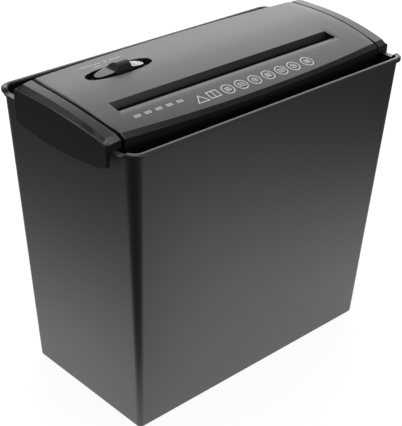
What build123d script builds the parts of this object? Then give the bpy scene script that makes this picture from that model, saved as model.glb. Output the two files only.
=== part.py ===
from build123d import *
import os
from math import acos, atan2, ceil, cos, hypot, pi, radians, sin, sqrt, tan

os.makedirs("parts", exist_ok=True)

# ---------------------------------------------------------------------------
# Driving dimensions, in millimetres. X runs along the paper slot, Y towards
# the back, Z up. The origin is the middle of the bin's base.
# ---------------------------------------------------------------------------

# Waste bin
bin_height = 241.5
bin_wall = 2.0
bin_floor = 2.5
bin_taper_length = 30.4        # mouth length less base length
bin_taper_width = 22.3         # mouth width less base width
bin_mouth_corner = 8.5
bin_base_corner = 4.0
bin_base_fillet = 2.6
lip_overhang = 2.65            # how far the rolled lip stands out of the wall
notch_depth = 3.5              # the lip is cut down by this where the head sits
notch_margin = 8.2             # from the bin's side wall to the notch

# Head
seat_gap = 0.3
front_gap = 12.7               # bin wall to the head's front face
rear_gap = 19.8                # bin wall to the head's back face
crest_rise = 17.5              # head's crest above the notch
crown_radius = 290.0
crown_flat = 34.4              # level stretch of the crown, from the back face
face_bow_radius = 2060.0       # plan radius of the front and back faces
seam_radius = 480.0            # plan radius of the seams beside the end caps
seam_gap = 1.2
cap_width = 9.7
apron_wall = 2.8
apron_gap = 0.8                # apron to the bin's lip
apron_drop = 18.2              # deepest point of the apron below the notch
apron_arc_radius = 250.0
front_bevel = 2.8
side_bevel = 1.8               # across the top of the head's ends
side_drop = 5.4                # down the head's ends
back_bevel = 5.6
corner_radius = 3.5
cover_wall = 2.3
skirt_depth = 10.0             # cover's lower edge below the notch
skirt_margin = 6.3             # seam to the tub's end wall
face_margin = 4.5              # front face to the tub's front wall
back_margin = 5.4

# Lower housing
tub_wall = 2.0
tub_corner = 5.0
tub_clearance = 2.0            # tub floor to the lowest gear tooth
exit_margin = 2.5              # strip exit to the frame plates
boss_radius = 4.2
boss_inset = 3.0               # screw bosses to the tub's end walls
boss_edge = 5.9                # front bosses to the tub's front wall
rear_boss_edge = 2.0

# Paper path
paper_width = 220.0
slot_front = 1.6               # how far the slot's front lip falls away
slot_back = 5.4                # how far its back wall slopes forward
throat_gap = 5.0
chute_wall = 1.4
slot_collar = 12.0             # cover's thickened collar, below the crest

# Cutters
cutter_radius = 12.0
core_radius = 7.5
cutter_pitch = 12.6            # two strips wide
cutter_width = 6.0
front_disc_count = 17
shaft_distance = 21.0
roller_drop = 32.0             # shaft centres below the notch
roller_end_play = 1.5          # paper's edge to the frame plate
bite_count = 14
bite_depth = 0.9
journal_radius = 4.0
hex_flat = 6.8                 # across flats
running_clearance = 0.05
fit_clearance = 0.03

# Frame
plate_thickness = 2.0
plate_clearance = 0.2
plate_rise = 32.0              # top of the frame plates above the shafts
bush_radius = 6.0
tie_rod_radius = 3.0
comb_bar = 3.3
comb_gap = 0.8
comb_finger = 5.0
core_gap = 0.5

# Gear train
gear_width = 4.0
plate_to_gear = 0.7
layer_gap = 0.6
gear_cover_thickness = 1.6
gear_cover_gap = 1.0           # gear cover to the tub's end wall
pressure_angle = radians(20)
tooth_thinning = 0.05
sync_module = 1.0
sync_teeth = 21
output_module = 0.9
output_teeth = 50
middle_module = 0.7
middle_teeth = 52
fast_module = 0.5
fast_teeth = 56
pinion_teeth = 14
second_gear_angle = radians(50)
axle_radius = 2.0
hub_radius = 3.6

# Motor
motor_radius = 18.0
motor_length = 60.0
motor_wall = 1.5
motor_gap = 8.6                # rear comb to the motor
motor_rise = 2.0               # motor shaft above the cutter shafts
motor_shaft_radius = 1.6
armature_radius = 13.2
magnet_thickness = 2.6

# Switch
recess_length = 60.6
recess_width = 17.2
recess_depth = 3.0
recess_floor = 2.2
recess_x = -73.7
recess_from_back = 36.3        # recess centre to the head's back face
slider_length = 43.0
slider_width = 11.2
slider_edge = 1.6
slider_ridge = 4.6             # height of the ramps where they meet the grip
slider_travel = 6.5
grip_radius = 6.4
grip_length = 12.2
slider_lift = 0.3
stem_length = 4.0
stem_width = 3.4
stem_drop = 6.6
switch_length = 32.0
switch_width = 12.0
switch_height = 8.6
switch_ear = 6.0
switch_drop = 1.3              # recess floor to the switch's ears
ear_thickness = 1.5

# Fasteners
screw_radius = 1.5
screw_head_radius = 2.8
screw_head_height = 1.8
small_screw_radius = 1.2
small_head_radius = 2.2
small_head_height = 1.3
small_boss_radius = 2.6
screw_clearance = 0.1          # screw to its hole, on the radius
head_clearance = 0.2           # screw head to its pocket, on the radius
housing_screw_length = 22.5
cap_screw_length = 5.6
switch_screw_length = 4.1

# Circuit board
board_length = 80.0
board_width = 34.0
board_thickness = 1.6
board_standoff = 4.0
board_inset = 3.5

# Cord outlet
outlet_radius = 3.2
outlet_x = 100.0
outlet_boss = 5.0
outlet_wall = 1.6
outlet_rise = 7.6              # outlet's centre above the notch

# ---------------------------------------------------------------------------
# Places worked out from the sizes above
# ---------------------------------------------------------------------------

# Along X, from the paper's edge outwards
plate_inner = paper_width / 2 + roller_end_play
plate_outer = plate_inner + plate_thickness
layer_a = plate_outer + plate_to_gear
layer_b = layer_a + gear_width + layer_gap
gear_cover_x = layer_b + gear_width + layer_gap
tub_half = gear_cover_x + gear_cover_thickness + gear_cover_gap + tub_wall
seam_half = tub_half + skirt_margin
head_half = seam_half + cap_width
mouth_half = head_half - apron_wall - apron_gap - lip_overhang

# Along Y, measured back from the head's front face
tub_front = face_margin
front_comb = tub_front + tub_wall + plate_clearance
front_shaft = front_comb + comb_bar + comb_gap + cutter_radius
rear_shaft = front_shaft + shaft_distance
rear_comb = rear_shaft + cutter_radius + comb_gap
motor_back = rear_comb + comb_bar + motor_gap + 2 * motor_radius
tub_back = motor_back + tub_wall + 2.0
head_depth = tub_back + back_margin
mouth_width = head_depth + front_gap + rear_gap + 2 * bin_wall

head_front_y = -mouth_width / 2 + bin_wall + front_gap
head_back_y = head_front_y + head_depth
tub_front_y = head_front_y + tub_front
tub_back_y = head_front_y + tub_back
front_comb_y = head_front_y + front_comb
front_shaft_y = head_front_y + front_shaft
rear_shaft_y = head_front_y + rear_shaft
rear_comb_y = head_front_y + rear_comb
nip_y = (front_shaft_y + rear_shaft_y) / 2
motor_y = head_front_y + motor_back - motor_radius
crown_flat_y = head_back_y - crown_flat
seam_middle_y = (head_front_y + head_back_y) / 2 + 5.5
cap_middle_y = (head_front_y + head_back_y) / 2 + 3.6
recess_y = head_back_y - recess_from_back

# Along Z
notch_z = bin_height - notch_depth
crest_z = notch_z + crest_rise
cap_low = notch_z + seat_gap
cover_low = notch_z - skirt_depth
roller_z = notch_z - roller_drop
motor_z = roller_z + motor_rise
output_tip = output_module * (output_teeth / 2 + 1)
tub_floor_z = roller_z - output_tip - tub_clearance
tub_low = tub_floor_z - tub_wall
recess_z = crest_z - recess_depth

# Gear centres, as (y, z)
front_center = (front_shaft_y, roller_z)
rear_center = (rear_shaft_y, roller_z)
motor_center = (motor_y, motor_z)
output_distance = output_module * (output_teeth + pinion_teeth) / 2
middle_distance = middle_module * (middle_teeth + pinion_teeth) / 2
fast_distance = fast_module * (fast_teeth + pinion_teeth) / 2
second_center = (rear_shaft_y + output_distance * cos(second_gear_angle),
                 roller_z + output_distance * sin(second_gear_angle))


def circles_meet(a, radius_a, b, radius_b):
    """Upper crossing of two circles: the place of a gear that meshes with both."""
    span = hypot(b[0] - a[0], b[1] - a[1])
    along = (radius_a**2 - radius_b**2 + span**2) / (2 * span)
    across = sqrt(radius_a**2 - along**2)
    unit = ((b[0] - a[0]) / span, (b[1] - a[1]) / span)
    return (a[0] + along * unit[0] - across * unit[1], a[1] + along * unit[1] + across * unit[0])


first_center = circles_meet(second_center, middle_distance, motor_center, fast_distance)


# ---------------------------------------------------------------------------
# Shared shapes
# ---------------------------------------------------------------------------

def across_x(x, center=(0, 0)):
    """Plane across X whose sketch axes are Y and Z, with its origin at center."""
    return Plane(origin=(x, center[0], center[1]), x_dir=(0, 1, 0), z_dir=(1, 0, 0))


def rod(x_start, x_end, center, radius):
    """Round bar along X."""
    with BuildPart() as bar:
        with BuildSketch(across_x(x_start, center)):
            Circle(radius)
        extrude(amount=x_end - x_start)
    return bar.part


def screw(at, radius, length, head_radius, head_height):
    """Pan-head screw: the head stands on the plane's normal side, the shank below it."""
    with BuildPart() as body:
        with BuildSketch(at):
            Circle(head_radius)
        extrude(amount=head_height)
        with BuildSketch(at):
            Circle(radius)
        extrude(amount=-length)
        with BuildSketch(at.offset(head_height)):
            Rectangle(head_radius * 1.2, head_radius * 0.28)
            Rectangle(head_radius * 0.28, head_radius * 1.2)
        extrude(amount=-head_height * 0.5, mode=Mode.SUBTRACT)
    return body.part


def plan_block(inset, low, corner):
    """Upright block on the head's plan: bowed front and back faces between flat ends."""
    front = head_front_y + inset
    back = head_back_y - inset
    half = head_half - inset
    sag = half**2 / (2 * face_bow_radius)
    with BuildPart() as block:
        with BuildSketch(Plane.XY.offset(low)):
            with BuildLine():
                ThreePointArc((-half, front + sag), (0, front), (half, front + sag))
                Line((half, front + sag), (half, back - sag))
                ThreePointArc((half, back - sag), (0, back), (-half, back - sag))
                Line((-half, back - sag), (-half, front + sag))
            make_face()
        extrude(amount=crest_z - low + 1)
        if corner > 0:
            fillet(block.edges().filter_by(Axis.Z), corner)
    return block.part


side_reach = 16.0              # how far below the crest the bevelled end edges lie
side_slope = 0.4               # and how steep they may be


def head_form(inset, low):
    """The closed head as one block: crowned, bevelled, drawn in by inset on every face but the base."""
    top = crest_z - inset
    radius = crown_radius - inset
    arc_z = crest_z - crown_radius
    start = head_front_y - 1
    middle = (start + crown_flat_y) / 2
    end = head_back_y + 1
    half = head_half - inset
    with BuildPart() as form:
        add(plan_block(inset, low, 0))
        with BuildSketch(across_x(-head_half - 1)):
            with BuildLine():
                ThreePointArc((start, arc_z + sqrt(radius**2 - (start - crown_flat_y)**2)),
                              (middle, arc_z + sqrt(radius**2 - (middle - crown_flat_y)**2)),
                              (crown_flat_y, top))
                Polyline((crown_flat_y, top), (end, top), (end, low - 1), (start, low - 1),
                         (start, arc_z + sqrt(radius**2 - (start - crown_flat_y)**2)))
            make_face()
        extrude(amount=2 * head_half + 2, mode=Mode.INTERSECT)
        rims = form.edges().filter_by(lambda e: e.center().Z > low + 1 and e.length > half)
        chamfer(rims.sort_by(Axis.Y)[0], front_bevel)
        rims = form.edges().filter_by(lambda e: e.center().Z > low + 1 and e.length > half)
        chamfer(rims.sort_by(Axis.Y)[-1], back_bevel)
        for side in (-1, 1):
            end_face = form.faces().sort_by(Axis.X)[0 if side < 0 else -1]
            sides = end_face.edges().filter_by(
                lambda e: e.center().Z > top - side_reach and abs(e.tangent_at(0.5).Z) < side_slope)
            chamfer(sides, side_drop, side_bevel, reference=end_face)
        add(plan_block(inset, low, corner_radius), mode=Mode.INTERSECT)
    return form.part


def seam_prism(grow):
    """The space between the two seams, grown sideways by grow: the top cover's share of the head."""
    half = seam_half + grow
    reach = head_depth
    middle = seam_middle_y
    sag = seam_radius - sqrt(seam_radius**2 - reach**2)
    with BuildPart() as prism:
        with BuildSketch(Plane.XY.offset(tub_low)):
            with BuildLine():
                ThreePointArc((half - sag, middle - reach), (half, middle), (half - sag, middle + reach))
                Line((half - sag, middle + reach), (sag - half, middle + reach))
                ThreePointArc((sag - half, middle + reach), (-half, middle), (sag - half, middle - reach))
                Line((sag - half, middle - reach), (half - sag, middle - reach))
            make_face()
        extrude(amount=crest_z + 20 - tub_low)
    return prism.part


def bin_outline(half_length, half_width, corner):
    """Draw one level of the bin."""
    RectangleRounded(2 * half_length, 2 * half_width, corner)


# ---------------------------------------------------------------------------
# Waste bin: tapered shell with a rolled lip, cut down at both ends
# ---------------------------------------------------------------------------

mouth_half_width = mouth_width / 2
base_half = mouth_half - bin_taper_length / 2
base_half_width = mouth_half_width - bin_taper_width / 2
lip_radius = (bin_wall + lip_overhang) / 2
lip_z = bin_height - lip_radius
wall_top = lip_z
notch_half = mouth_half_width - notch_margin
floor_share = bin_floor / wall_top
bin_inner_corner = bin_mouth_corner - bin_wall
lip_rounding = 0.94            # share of the lip's radius that its edges are rounded by

with BuildPart() as waste_bin:
    with BuildSketch(Plane.XY):
        bin_outline(base_half, base_half_width, bin_base_corner)
    with BuildSketch(Plane.XY.offset(wall_top)):
        bin_outline(mouth_half, mouth_half_width, bin_mouth_corner)
    loft()
    fillet(waste_bin.edges().group_by(Axis.Z)[0], bin_base_fillet)
    floor_half = base_half + floor_share * bin_taper_length / 2 - bin_wall
    floor_half_width = base_half_width + floor_share * bin_taper_width / 2 - bin_wall
    with BuildSketch(Plane.XY.offset(bin_floor)):
        bin_outline(floor_half, floor_half_width, bin_base_corner)
    with BuildSketch(Plane.XY.offset(wall_top)):
        bin_outline(mouth_half - bin_wall, mouth_half_width - bin_wall, bin_inner_corner)
    loft(mode=Mode.SUBTRACT)
    # rolled lip
    with BuildSketch(Plane.XY.offset(bin_height - 2 * lip_radius)):
        bin_outline(mouth_half + lip_overhang, mouth_half_width + lip_overhang,
                    bin_mouth_corner + lip_overhang)
        RectangleRounded(2 * (mouth_half - bin_wall), 2 * (mouth_half_width - bin_wall), bin_inner_corner,
                         mode=Mode.SUBTRACT)
    extrude(amount=2 * lip_radius)
    lip_edges = waste_bin.edges().group_by(Axis.Z)[-1]
    fillet(lip_edges, lip_radius * lip_rounding)
    underside = waste_bin.edges().filter_by(
        lambda e: abs(e.center().Z - bin_height + 2 * lip_radius) < 0.05
        and (abs(e.center().X) > mouth_half + 0.5 or abs(e.center().Y) > mouth_half_width + 0.5))
    fillet(underside, lip_radius * lip_rounding)
    with BuildSketch(Plane.XY.offset(notch_z)):
        for side in (-1, 1):
            with Locations((side * mouth_half, 0)):
                Rectangle(bin_mouth_corner * 2, 2 * notch_half)
    extrude(amount=notch_depth + 1, mode=Mode.SUBTRACT)
waste_bin.part.label = "waste_bin"
export_step(waste_bin.part, "parts/waste_bin.step")

# ---------------------------------------------------------------------------
# Top cover: crowned shell with the paper slot and the switch recess
# ---------------------------------------------------------------------------

cover_outside = head_form(0, cover_low)
cover_inside = head_form(cover_wall, cover_low - 1)
cover_embed = head_form(cover_wall / 2, cover_low - 1)
seam_outside = seam_prism(-seam_gap / 2)
seam_inside = seam_prism(-seam_gap / 2 - cover_wall)

boss_x = tub_half - tub_wall - boss_inset
front_boss_y = tub_front_y + tub_wall + boss_edge
rear_boss_y = tub_back_y - tub_wall - rear_boss_edge
boss_places = [(-boss_x, front_boss_y), (boss_x, front_boss_y),
               (-boss_x, rear_boss_y), (boss_x, rear_boss_y)]

slot_half = paper_width / 2
throat_front = nip_y - throat_gap / 2
throat_back = nip_y + throat_gap / 2
slot_front_y = throat_front - slot_front
slot_back_y = throat_back + slot_back
collar_z = crest_z - slot_collar
collar_margin = 2.2
lip_depth = 3.6                # where the slot's front lip meets the throat
ramp_depth = 5.6               # where its back wall meets the throat
pilot_depth = 12.0
ear_depth = 2.9


def crown_z(y):
    """Height of the crown at y."""
    return crest_z - crown_radius + sqrt(crown_radius**2 - max(0, crown_flat_y - y)**2)


switch_x = recess_x
ear_top = recess_z - recess_floor - switch_drop
switch_screw_x = switch_length / 2 + switch_ear / 2
outlet_z = notch_z + outlet_rise
outlet_wall_y = head_back_y - outlet_x**2 / (2 * face_bow_radius)
cap_screw_ys = (crown_flat_y - 38, crown_flat_y - 4)
cap_screw_z = cap_low + 2.7

with BuildPart() as cover_cavity:
    add(cover_inside)
    add(seam_inside, mode=Mode.INTERSECT)

with BuildPart() as cover_inner:
    with BuildSketch(Plane.XY.offset(collar_z)):
        with Locations((0, (slot_front_y + slot_back_y) / 2)):
            Rectangle(2 * (slot_half + collar_margin), slot_back_y - slot_front_y + 2 * collar_margin)
    extrude(amount=slot_collar)
    with BuildSketch(Plane.XY.offset(recess_z - recess_floor)):
        with Locations((recess_x, recess_y)):
            Ellipse(recess_length / 2 + recess_floor, recess_width / 2 + recess_floor)
    extrude(amount=recess_floor + recess_depth)
    with BuildSketch(Plane.XY.offset(ear_top)):
        with Locations(*[(switch_x + side * switch_screw_x, recess_y) for side in (-1, 1)]):
            Circle(small_boss_radius)
    extrude(amount=ear_depth)
    with BuildSketch(Plane.XY.offset(cover_low)):
        with Locations(*boss_places):
            Circle(boss_radius)
    extrude(amount=crest_z - cover_low)
    with BuildSketch(Plane.XZ.offset(-outlet_wall_y)):
        with Locations((outlet_x, outlet_z)):
            Circle(outlet_radius + outlet_wall)
    extrude(amount=cover_wall + outlet_boss)
    add(cover_embed, mode=Mode.INTERSECT)

with BuildPart() as top_cover:
    add(cover_outside)
    add(seam_outside, mode=Mode.INTERSECT)
    add(cover_cavity.part, mode=Mode.SUBTRACT)
    add(cover_inner.part)
    # paper slot: rounded front lip, sloping back wall, straight throat
    with BuildSketch(across_x(-slot_half)):
        with BuildLine():
            Polyline((slot_front_y, crest_z + 1), (slot_front_y, crown_z(slot_front_y) - 0.6),
                     (throat_front, crown_z(throat_front) - lip_depth), (throat_front, collar_z - 1),
                     (throat_back, collar_z - 1), (throat_back, crown_z(throat_back) - ramp_depth),
                     (slot_back_y, crown_z(slot_back_y) - 0.4), (slot_back_y, crest_z + 1),
                     close=True)
        make_face()
    extrude(amount=2 * slot_half, mode=Mode.SUBTRACT)
    # switch recess with its stem slot
    with BuildSketch(Plane.XY.offset(recess_z)):
        with Locations((recess_x, recess_y)):
            Ellipse(recess_length / 2, recess_width / 2)
    extrude(amount=recess_depth + 1, mode=Mode.SUBTRACT)
    with BuildSketch(Plane.XY.offset(recess_z + 1)):
        with Locations((recess_x, recess_y)):
            SlotOverall(2 * slider_travel + stem_length + 4, stem_width + 0.8)
    extrude(amount=-recess_floor - 2, mode=Mode.SUBTRACT)
    # pilot holes for the switch screws and the housing screws
    with BuildSketch(Plane.XY.offset(ear_top)):
        with Locations(*[(switch_x + side * switch_screw_x, recess_y) for side in (-1, 1)]):
            Circle(small_screw_radius + fit_clearance)
    extrude(amount=ear_depth - 0.1, mode=Mode.SUBTRACT)
    with BuildSketch(Plane.XY.offset(cover_low)):
        with Locations(*boss_places):
            Circle(screw_radius + fit_clearance)
    extrude(amount=pilot_depth, mode=Mode.SUBTRACT)
    # screw holes into the end caps
    for y in cap_screw_ys:
        with BuildSketch(across_x(-head_half, (y, cap_screw_z))):
            Circle(screw_radius + fit_clearance)
        extrude(amount=2 * head_half, mode=Mode.SUBTRACT)
    # cord outlet through the back wall and its boss
    with BuildSketch(Plane.XZ.offset(-head_back_y - 1)):
        with Locations((outlet_x, outlet_z)):
            Circle(outlet_radius)
    extrude(amount=cover_wall + outlet_boss + 8, mode=Mode.SUBTRACT)
top_cover.part.label = "top_cover"
export_step(top_cover.part, "parts/top_cover.step")

# ---------------------------------------------------------------------------
# End caps: bevelled ends of the head with an apron over the bin's end wall
# ---------------------------------------------------------------------------

seam_cap = seam_prism(seam_gap / 2)
cap_form = head_form(0, notch_z - apron_drop - 1)
apron_inner = head_half - apron_wall
rib_pitch = 17.0
rib_width = 3.0
pocket_count = 5
pocket_top = cap_low + 8.0
pocket_inner = seam_half + seam_gap / 2 + 2.0
tongue_height = 5.0
tongue_half = 34.0


def end_cap(side):
    """One end cap; side is -1 for the left end and 1 for the right."""
    with BuildPart() as cap:
        add(cap_form)
        add(seam_cap, mode=Mode.SUBTRACT)
        # keep this end only
        with BuildSketch(Plane.XY.offset(tub_low)):
            with Locations((-side * head_half, 0)):
                Rectangle(2 * head_half, 2 * mouth_width)
        extrude(amount=2 * crest_z, mode=Mode.SUBTRACT)
        # underside, inboard of the apron
        with BuildSketch(Plane.XY.offset(tub_low)):
            with Locations((side * (apron_inner - head_half / 2), 0)):
                Rectangle(head_half, 2 * mouth_width)
        extrude(amount=cap_low - tub_low, mode=Mode.SUBTRACT)
        # arched lower edge of the apron
        arch_z = notch_z - apron_drop
        reach = head_depth
        rise = apron_arc_radius - sqrt(apron_arc_radius**2 - reach**2)
        with BuildSketch(across_x(-head_half - 1)):
            with BuildLine():
                ThreePointArc((cap_middle_y - reach, arch_z + rise), (cap_middle_y, arch_z),
                              (cap_middle_y + reach, arch_z + rise))
                Polyline((cap_middle_y + reach, arch_z + rise), (cap_middle_y + reach, tub_low),
                         (cap_middle_y - reach, tub_low), (cap_middle_y - reach, arch_z + rise))
            make_face()
        extrude(amount=2 * head_half + 2, mode=Mode.SUBTRACT)
        # tongue that bears on the cover's side wall
        with BuildSketch(Plane.XY.offset(cap_low)):
            with Locations((side * (seam_half - 1), cap_middle_y)):
                Rectangle(6, 2 * tongue_half)
        extrude(amount=tongue_height)
        add(seam_outside, mode=Mode.SUBTRACT)
        # pockets between the ribs that stand on the bin's notch
        with BuildSketch(Plane.XY.offset(cap_low)):
            with Locations((side * (pocket_inner + apron_inner) / 2, cap_middle_y)):
                with GridLocations(0, rib_pitch, 1, pocket_count):
                    Rectangle(apron_inner - pocket_inner, rib_pitch - rib_width)
        extrude(amount=pocket_top - cap_low, mode=Mode.SUBTRACT)
        for y in cap_screw_ys:
            with BuildSketch(across_x(side * tub_half, (y, cap_screw_z))):
                Circle(screw_radius + fit_clearance)
            extrude(amount=side * (pocket_inner - tub_half + 1), mode=Mode.SUBTRACT)
    return cap.part


left_end_cap = end_cap(-1)
left_end_cap.label = "left_end_cap"
export_step(left_end_cap, "parts/left_end_cap.step")

right_end_cap = end_cap(1)
right_end_cap.label = "right_end_cap"
export_step(right_end_cap, "parts/right_end_cap.step")

# ---------------------------------------------------------------------------
# Mode slider: lens-shaped plate with ramps up to a half-round grip and a stem
# ---------------------------------------------------------------------------

slider_z = recess_z + slider_lift
slider_edge_z = slider_z + slider_edge
slider_ridge_z = slider_z + slider_ridge
grip_z = slider_z + slider_edge + 0.2
slider_half = slider_length / 2

with BuildPart() as mode_slider:
    with BuildSketch(Plane(origin=(recess_x, recess_y, slider_z))):
        with BuildLine():
            ThreePointArc((-slider_half, 0), (0, slider_width / 2), (slider_half, 0))
            ThreePointArc((slider_half, 0), (0, -slider_width / 2), (-slider_half, 0))
        make_face()
    extrude(amount=slider_ridge)
    with BuildSketch(Plane.XZ.offset(-recess_y - slider_width)):
        with BuildLine():
            Polyline((recess_x - slider_half, slider_z), (recess_x + slider_half, slider_z),
                     (recess_x + slider_half, slider_edge_z), (recess_x + grip_length / 2, slider_ridge_z),
                     (recess_x - grip_length / 2, slider_ridge_z), (recess_x - slider_half, slider_edge_z),
                     close=True)
        make_face()
    extrude(amount=2 * slider_width, mode=Mode.INTERSECT)
    with BuildSketch(across_x(recess_x - grip_length / 2, (recess_y, grip_z))):
        Circle(grip_radius)
        with Locations((0, slider_z - grip_z - grip_radius)):
            Rectangle(4 * grip_radius, 2 * grip_radius, mode=Mode.SUBTRACT)
    extrude(amount=grip_length)
    top_rims = mode_slider.edges().filter_by(GeomType.CIRCLE).filter_by(
        lambda e: e.radius > grip_radius - 0.1 and e.radius < grip_radius + 0.1 and e.center().Z > slider_ridge_z)
    fillet(top_rims, 0.5)
    with BuildSketch(Plane.XY.offset(slider_z + 0.5)):
        with Locations((recess_x, recess_y)):
            Rectangle(stem_length, stem_width)
    extrude(amount=-stem_drop - 0.5)
mode_slider.part.label = "mode_slider"
export_step(mode_slider.part, "parts/mode_slider.step")

# ---------------------------------------------------------------------------
# Mode switch: slide switch hung under the recess by two ears
# ---------------------------------------------------------------------------

switch_low = ear_top - switch_height

with BuildPart() as mode_switch:
    with BuildSketch(Plane.XY.offset(switch_low)):
        with Locations((switch_x, recess_y)):
            Rectangle(switch_length, switch_width)
    extrude(amount=switch_height)
    with BuildSketch(Plane.XY.offset(ear_top)):
        with Locations((switch_x, recess_y)):
            RectangleRounded(switch_length + 2 * switch_ear, switch_width - 4, 1.5)
    extrude(amount=-ear_thickness)
    with BuildSketch(Plane.XY.offset(ear_top)):
        with Locations((switch_x, recess_y)):
            Rectangle(2 * slider_travel + stem_length + 2, stem_width + 1)
    extrude(amount=-(ear_top - slider_z + stem_drop + 0.8), mode=Mode.SUBTRACT)
    with BuildSketch(Plane.XY.offset(ear_top)):
        with Locations(*[(switch_x + side * switch_screw_x, recess_y) for side in (-1, 1)]):
            Circle(small_screw_radius + screw_clearance)
    extrude(amount=-ear_thickness, mode=Mode.SUBTRACT)
    # solder tags
    with BuildSketch(Plane.XY.offset(switch_low)):
        with Locations((switch_x, recess_y)):
            with GridLocations(9, 6, 3, 2):
                Rectangle(2.2, 0.8)
    extrude(amount=-4)
mode_switch.part.label = "mode_switch"
export_step(mode_switch.part, "parts/mode_switch.step")

with BuildPart() as switch_screws:
    for side in (-1, 1):
        seat = Plane(origin=(switch_x + side * switch_screw_x, recess_y, ear_top - ear_thickness),
                     x_dir=(1, 0, 0), z_dir=(0, 0, -1))
        add(screw(seat, small_screw_radius, switch_screw_length, small_head_radius, small_head_height))
switch_screws.part.label = "switch_screws"
export_step(switch_screws.part, "parts/switch_screws.step")

# ---------------------------------------------------------------------------
# Lower housing: open tub that carries the mechanism inside the bin's mouth
# ---------------------------------------------------------------------------

flange_thickness = 2.0
exit_half = plate_inner - exit_margin
exit_front = front_shaft_y - cutter_radius + 1.7
exit_back = rear_shaft_y + cutter_radius - 1.3
screw_seat_z = cover_low - 12.0
board_x = -(plate_inner - 6.5 - board_length / 2)
board_y = motor_y
board_z = tub_floor_z + board_standoff
board_screw_places = [(board_x + sx * (board_length / 2 - board_inset),
                       board_y + sy * (board_width / 2 - board_inset))
                      for sx in (-1, 1) for sy in (-1, 1)]
cradle_places = (plate_inner - 12, plate_inner - 46)
flange_form = head_form(0.4, cover_low - flange_thickness)
seam_flange = seam_prism(-seam_gap / 2 - 0.4)

with BuildPart() as lower_housing:
    add(flange_form)
    add(seam_flange, mode=Mode.INTERSECT)
    with BuildSketch(Plane.XY.offset(cover_low)):
        Rectangle(3 * head_half, 3 * mouth_width)
    extrude(amount=crest_z, mode=Mode.SUBTRACT)
    tub_middle = (tub_front_y + tub_back_y) / 2
    with BuildSketch(Plane.XY.offset(tub_low)):
        with Locations((0, tub_middle)):
            RectangleRounded(2 * tub_half, tub_back_y - tub_front_y, tub_corner)
    extrude(amount=cover_low - tub_low)
    with BuildSketch(Plane.XY.offset(tub_floor_z)):
        with Locations((0, tub_middle)):
            RectangleRounded(2 * (tub_half - tub_wall), tub_back_y - tub_front_y - 2 * tub_wall,
                             tub_corner - tub_wall)
    extrude(amount=cover_low - tub_floor_z, mode=Mode.SUBTRACT)
    # strip exit
    with BuildSketch(Plane.XY.offset(tub_low)):
        with Locations((0, (exit_front + exit_back) / 2)):
            RectangleRounded(2 * exit_half, exit_back - exit_front, 3)
    extrude(amount=tub_wall, mode=Mode.SUBTRACT)
    # screw bosses, board standoffs and motor cradle
    with BuildSketch(Plane.XY.offset(tub_low)):
        with Locations(*boss_places):
            Circle(boss_radius)
    extrude(amount=cover_low - tub_low)
    with BuildSketch(Plane.XY.offset(tub_floor_z)):
        with Locations(*board_screw_places):
            Circle(small_boss_radius)
    extrude(amount=board_standoff)
    for x in cradle_places:
        with BuildSketch(across_x(x, (motor_y, tub_floor_z))):
            with Locations((0, (motor_z - tub_floor_z) / 4)):
                Rectangle(1.5 * motor_radius, (motor_z - tub_floor_z) / 2)
        extrude(amount=-2.0)
    with BuildSketch(across_x(cradle_places[1] - 4, (motor_y, motor_z))):
        Circle(motor_radius)
    extrude(amount=plate_inner - cradle_places[1], mode=Mode.SUBTRACT)
    with BuildSketch(Plane.XY.offset(tub_low)):
        with Locations(*boss_places):
            Circle(screw_head_radius + head_clearance)
    extrude(amount=screw_seat_z - tub_low, mode=Mode.SUBTRACT)
    with BuildSketch(Plane.XY.offset(tub_low)):
        with Locations(*boss_places):
            Circle(screw_radius + screw_clearance)
    extrude(amount=cover_low - tub_low, mode=Mode.SUBTRACT)
    with BuildSketch(Plane.XY.offset(board_z)):
        with Locations(*board_screw_places):
            Circle(small_screw_radius + fit_clearance)
    extrude(amount=-board_standoff, mode=Mode.SUBTRACT)
lower_housing.part.label = "lower_housing"
export_step(lower_housing.part, "parts/lower_housing.step")

with BuildPart() as housing_screws:
    for x, y in boss_places:
        seat = Plane(origin=(x, y, screw_seat_z), x_dir=(1, 0, 0), z_dir=(0, 0, -1))
        add(screw(seat, screw_radius, housing_screw_length, screw_head_radius, screw_head_height))
housing_screws.part.label = "housing_screws"
export_step(housing_screws.part, "parts/housing_screws.step")

with BuildPart() as cap_screws:
    for side in (-1, 1):
        for y in cap_screw_ys:
            bow = (y - seam_middle_y)**2 / (2 * seam_radius)
            inner = seam_half - seam_gap / 2 - cover_wall - bow - 0.15
            seat = Plane(origin=(side * inner, y, cap_screw_z), x_dir=(0, 1, 0), z_dir=(-side, 0, 0))
            add(screw(seat, screw_radius, cap_screw_length, screw_head_radius, screw_head_height))
cap_screws.part.label = "cap_screws"
export_step(cap_screws.part, "parts/cap_screws.step")

# ---------------------------------------------------------------------------
# Paper chute: guides the sheet to the nip and carries the paper sensor
# ---------------------------------------------------------------------------

chute_low = roller_z + 14.0
chute_half = plate_inner - plate_clearance
chute_back_y = throat_back + chute_wall
lever_pivot = (chute_back_y + 5.3, chute_low + 16.0)
lever_half = 1.5
lever_gap = 0.5
ear_width = 1.5
shelf_half = 12.0
shelf_thickness = 1.5
micro_length = 20.0
micro_depth = 6.4
micro_height = 10.0
micro_y = lever_pivot[0] + 7.0
shelf_z = chute_low + 0.5
micro_z = shelf_z + shelf_thickness
pin_radius = 1.0

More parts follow.
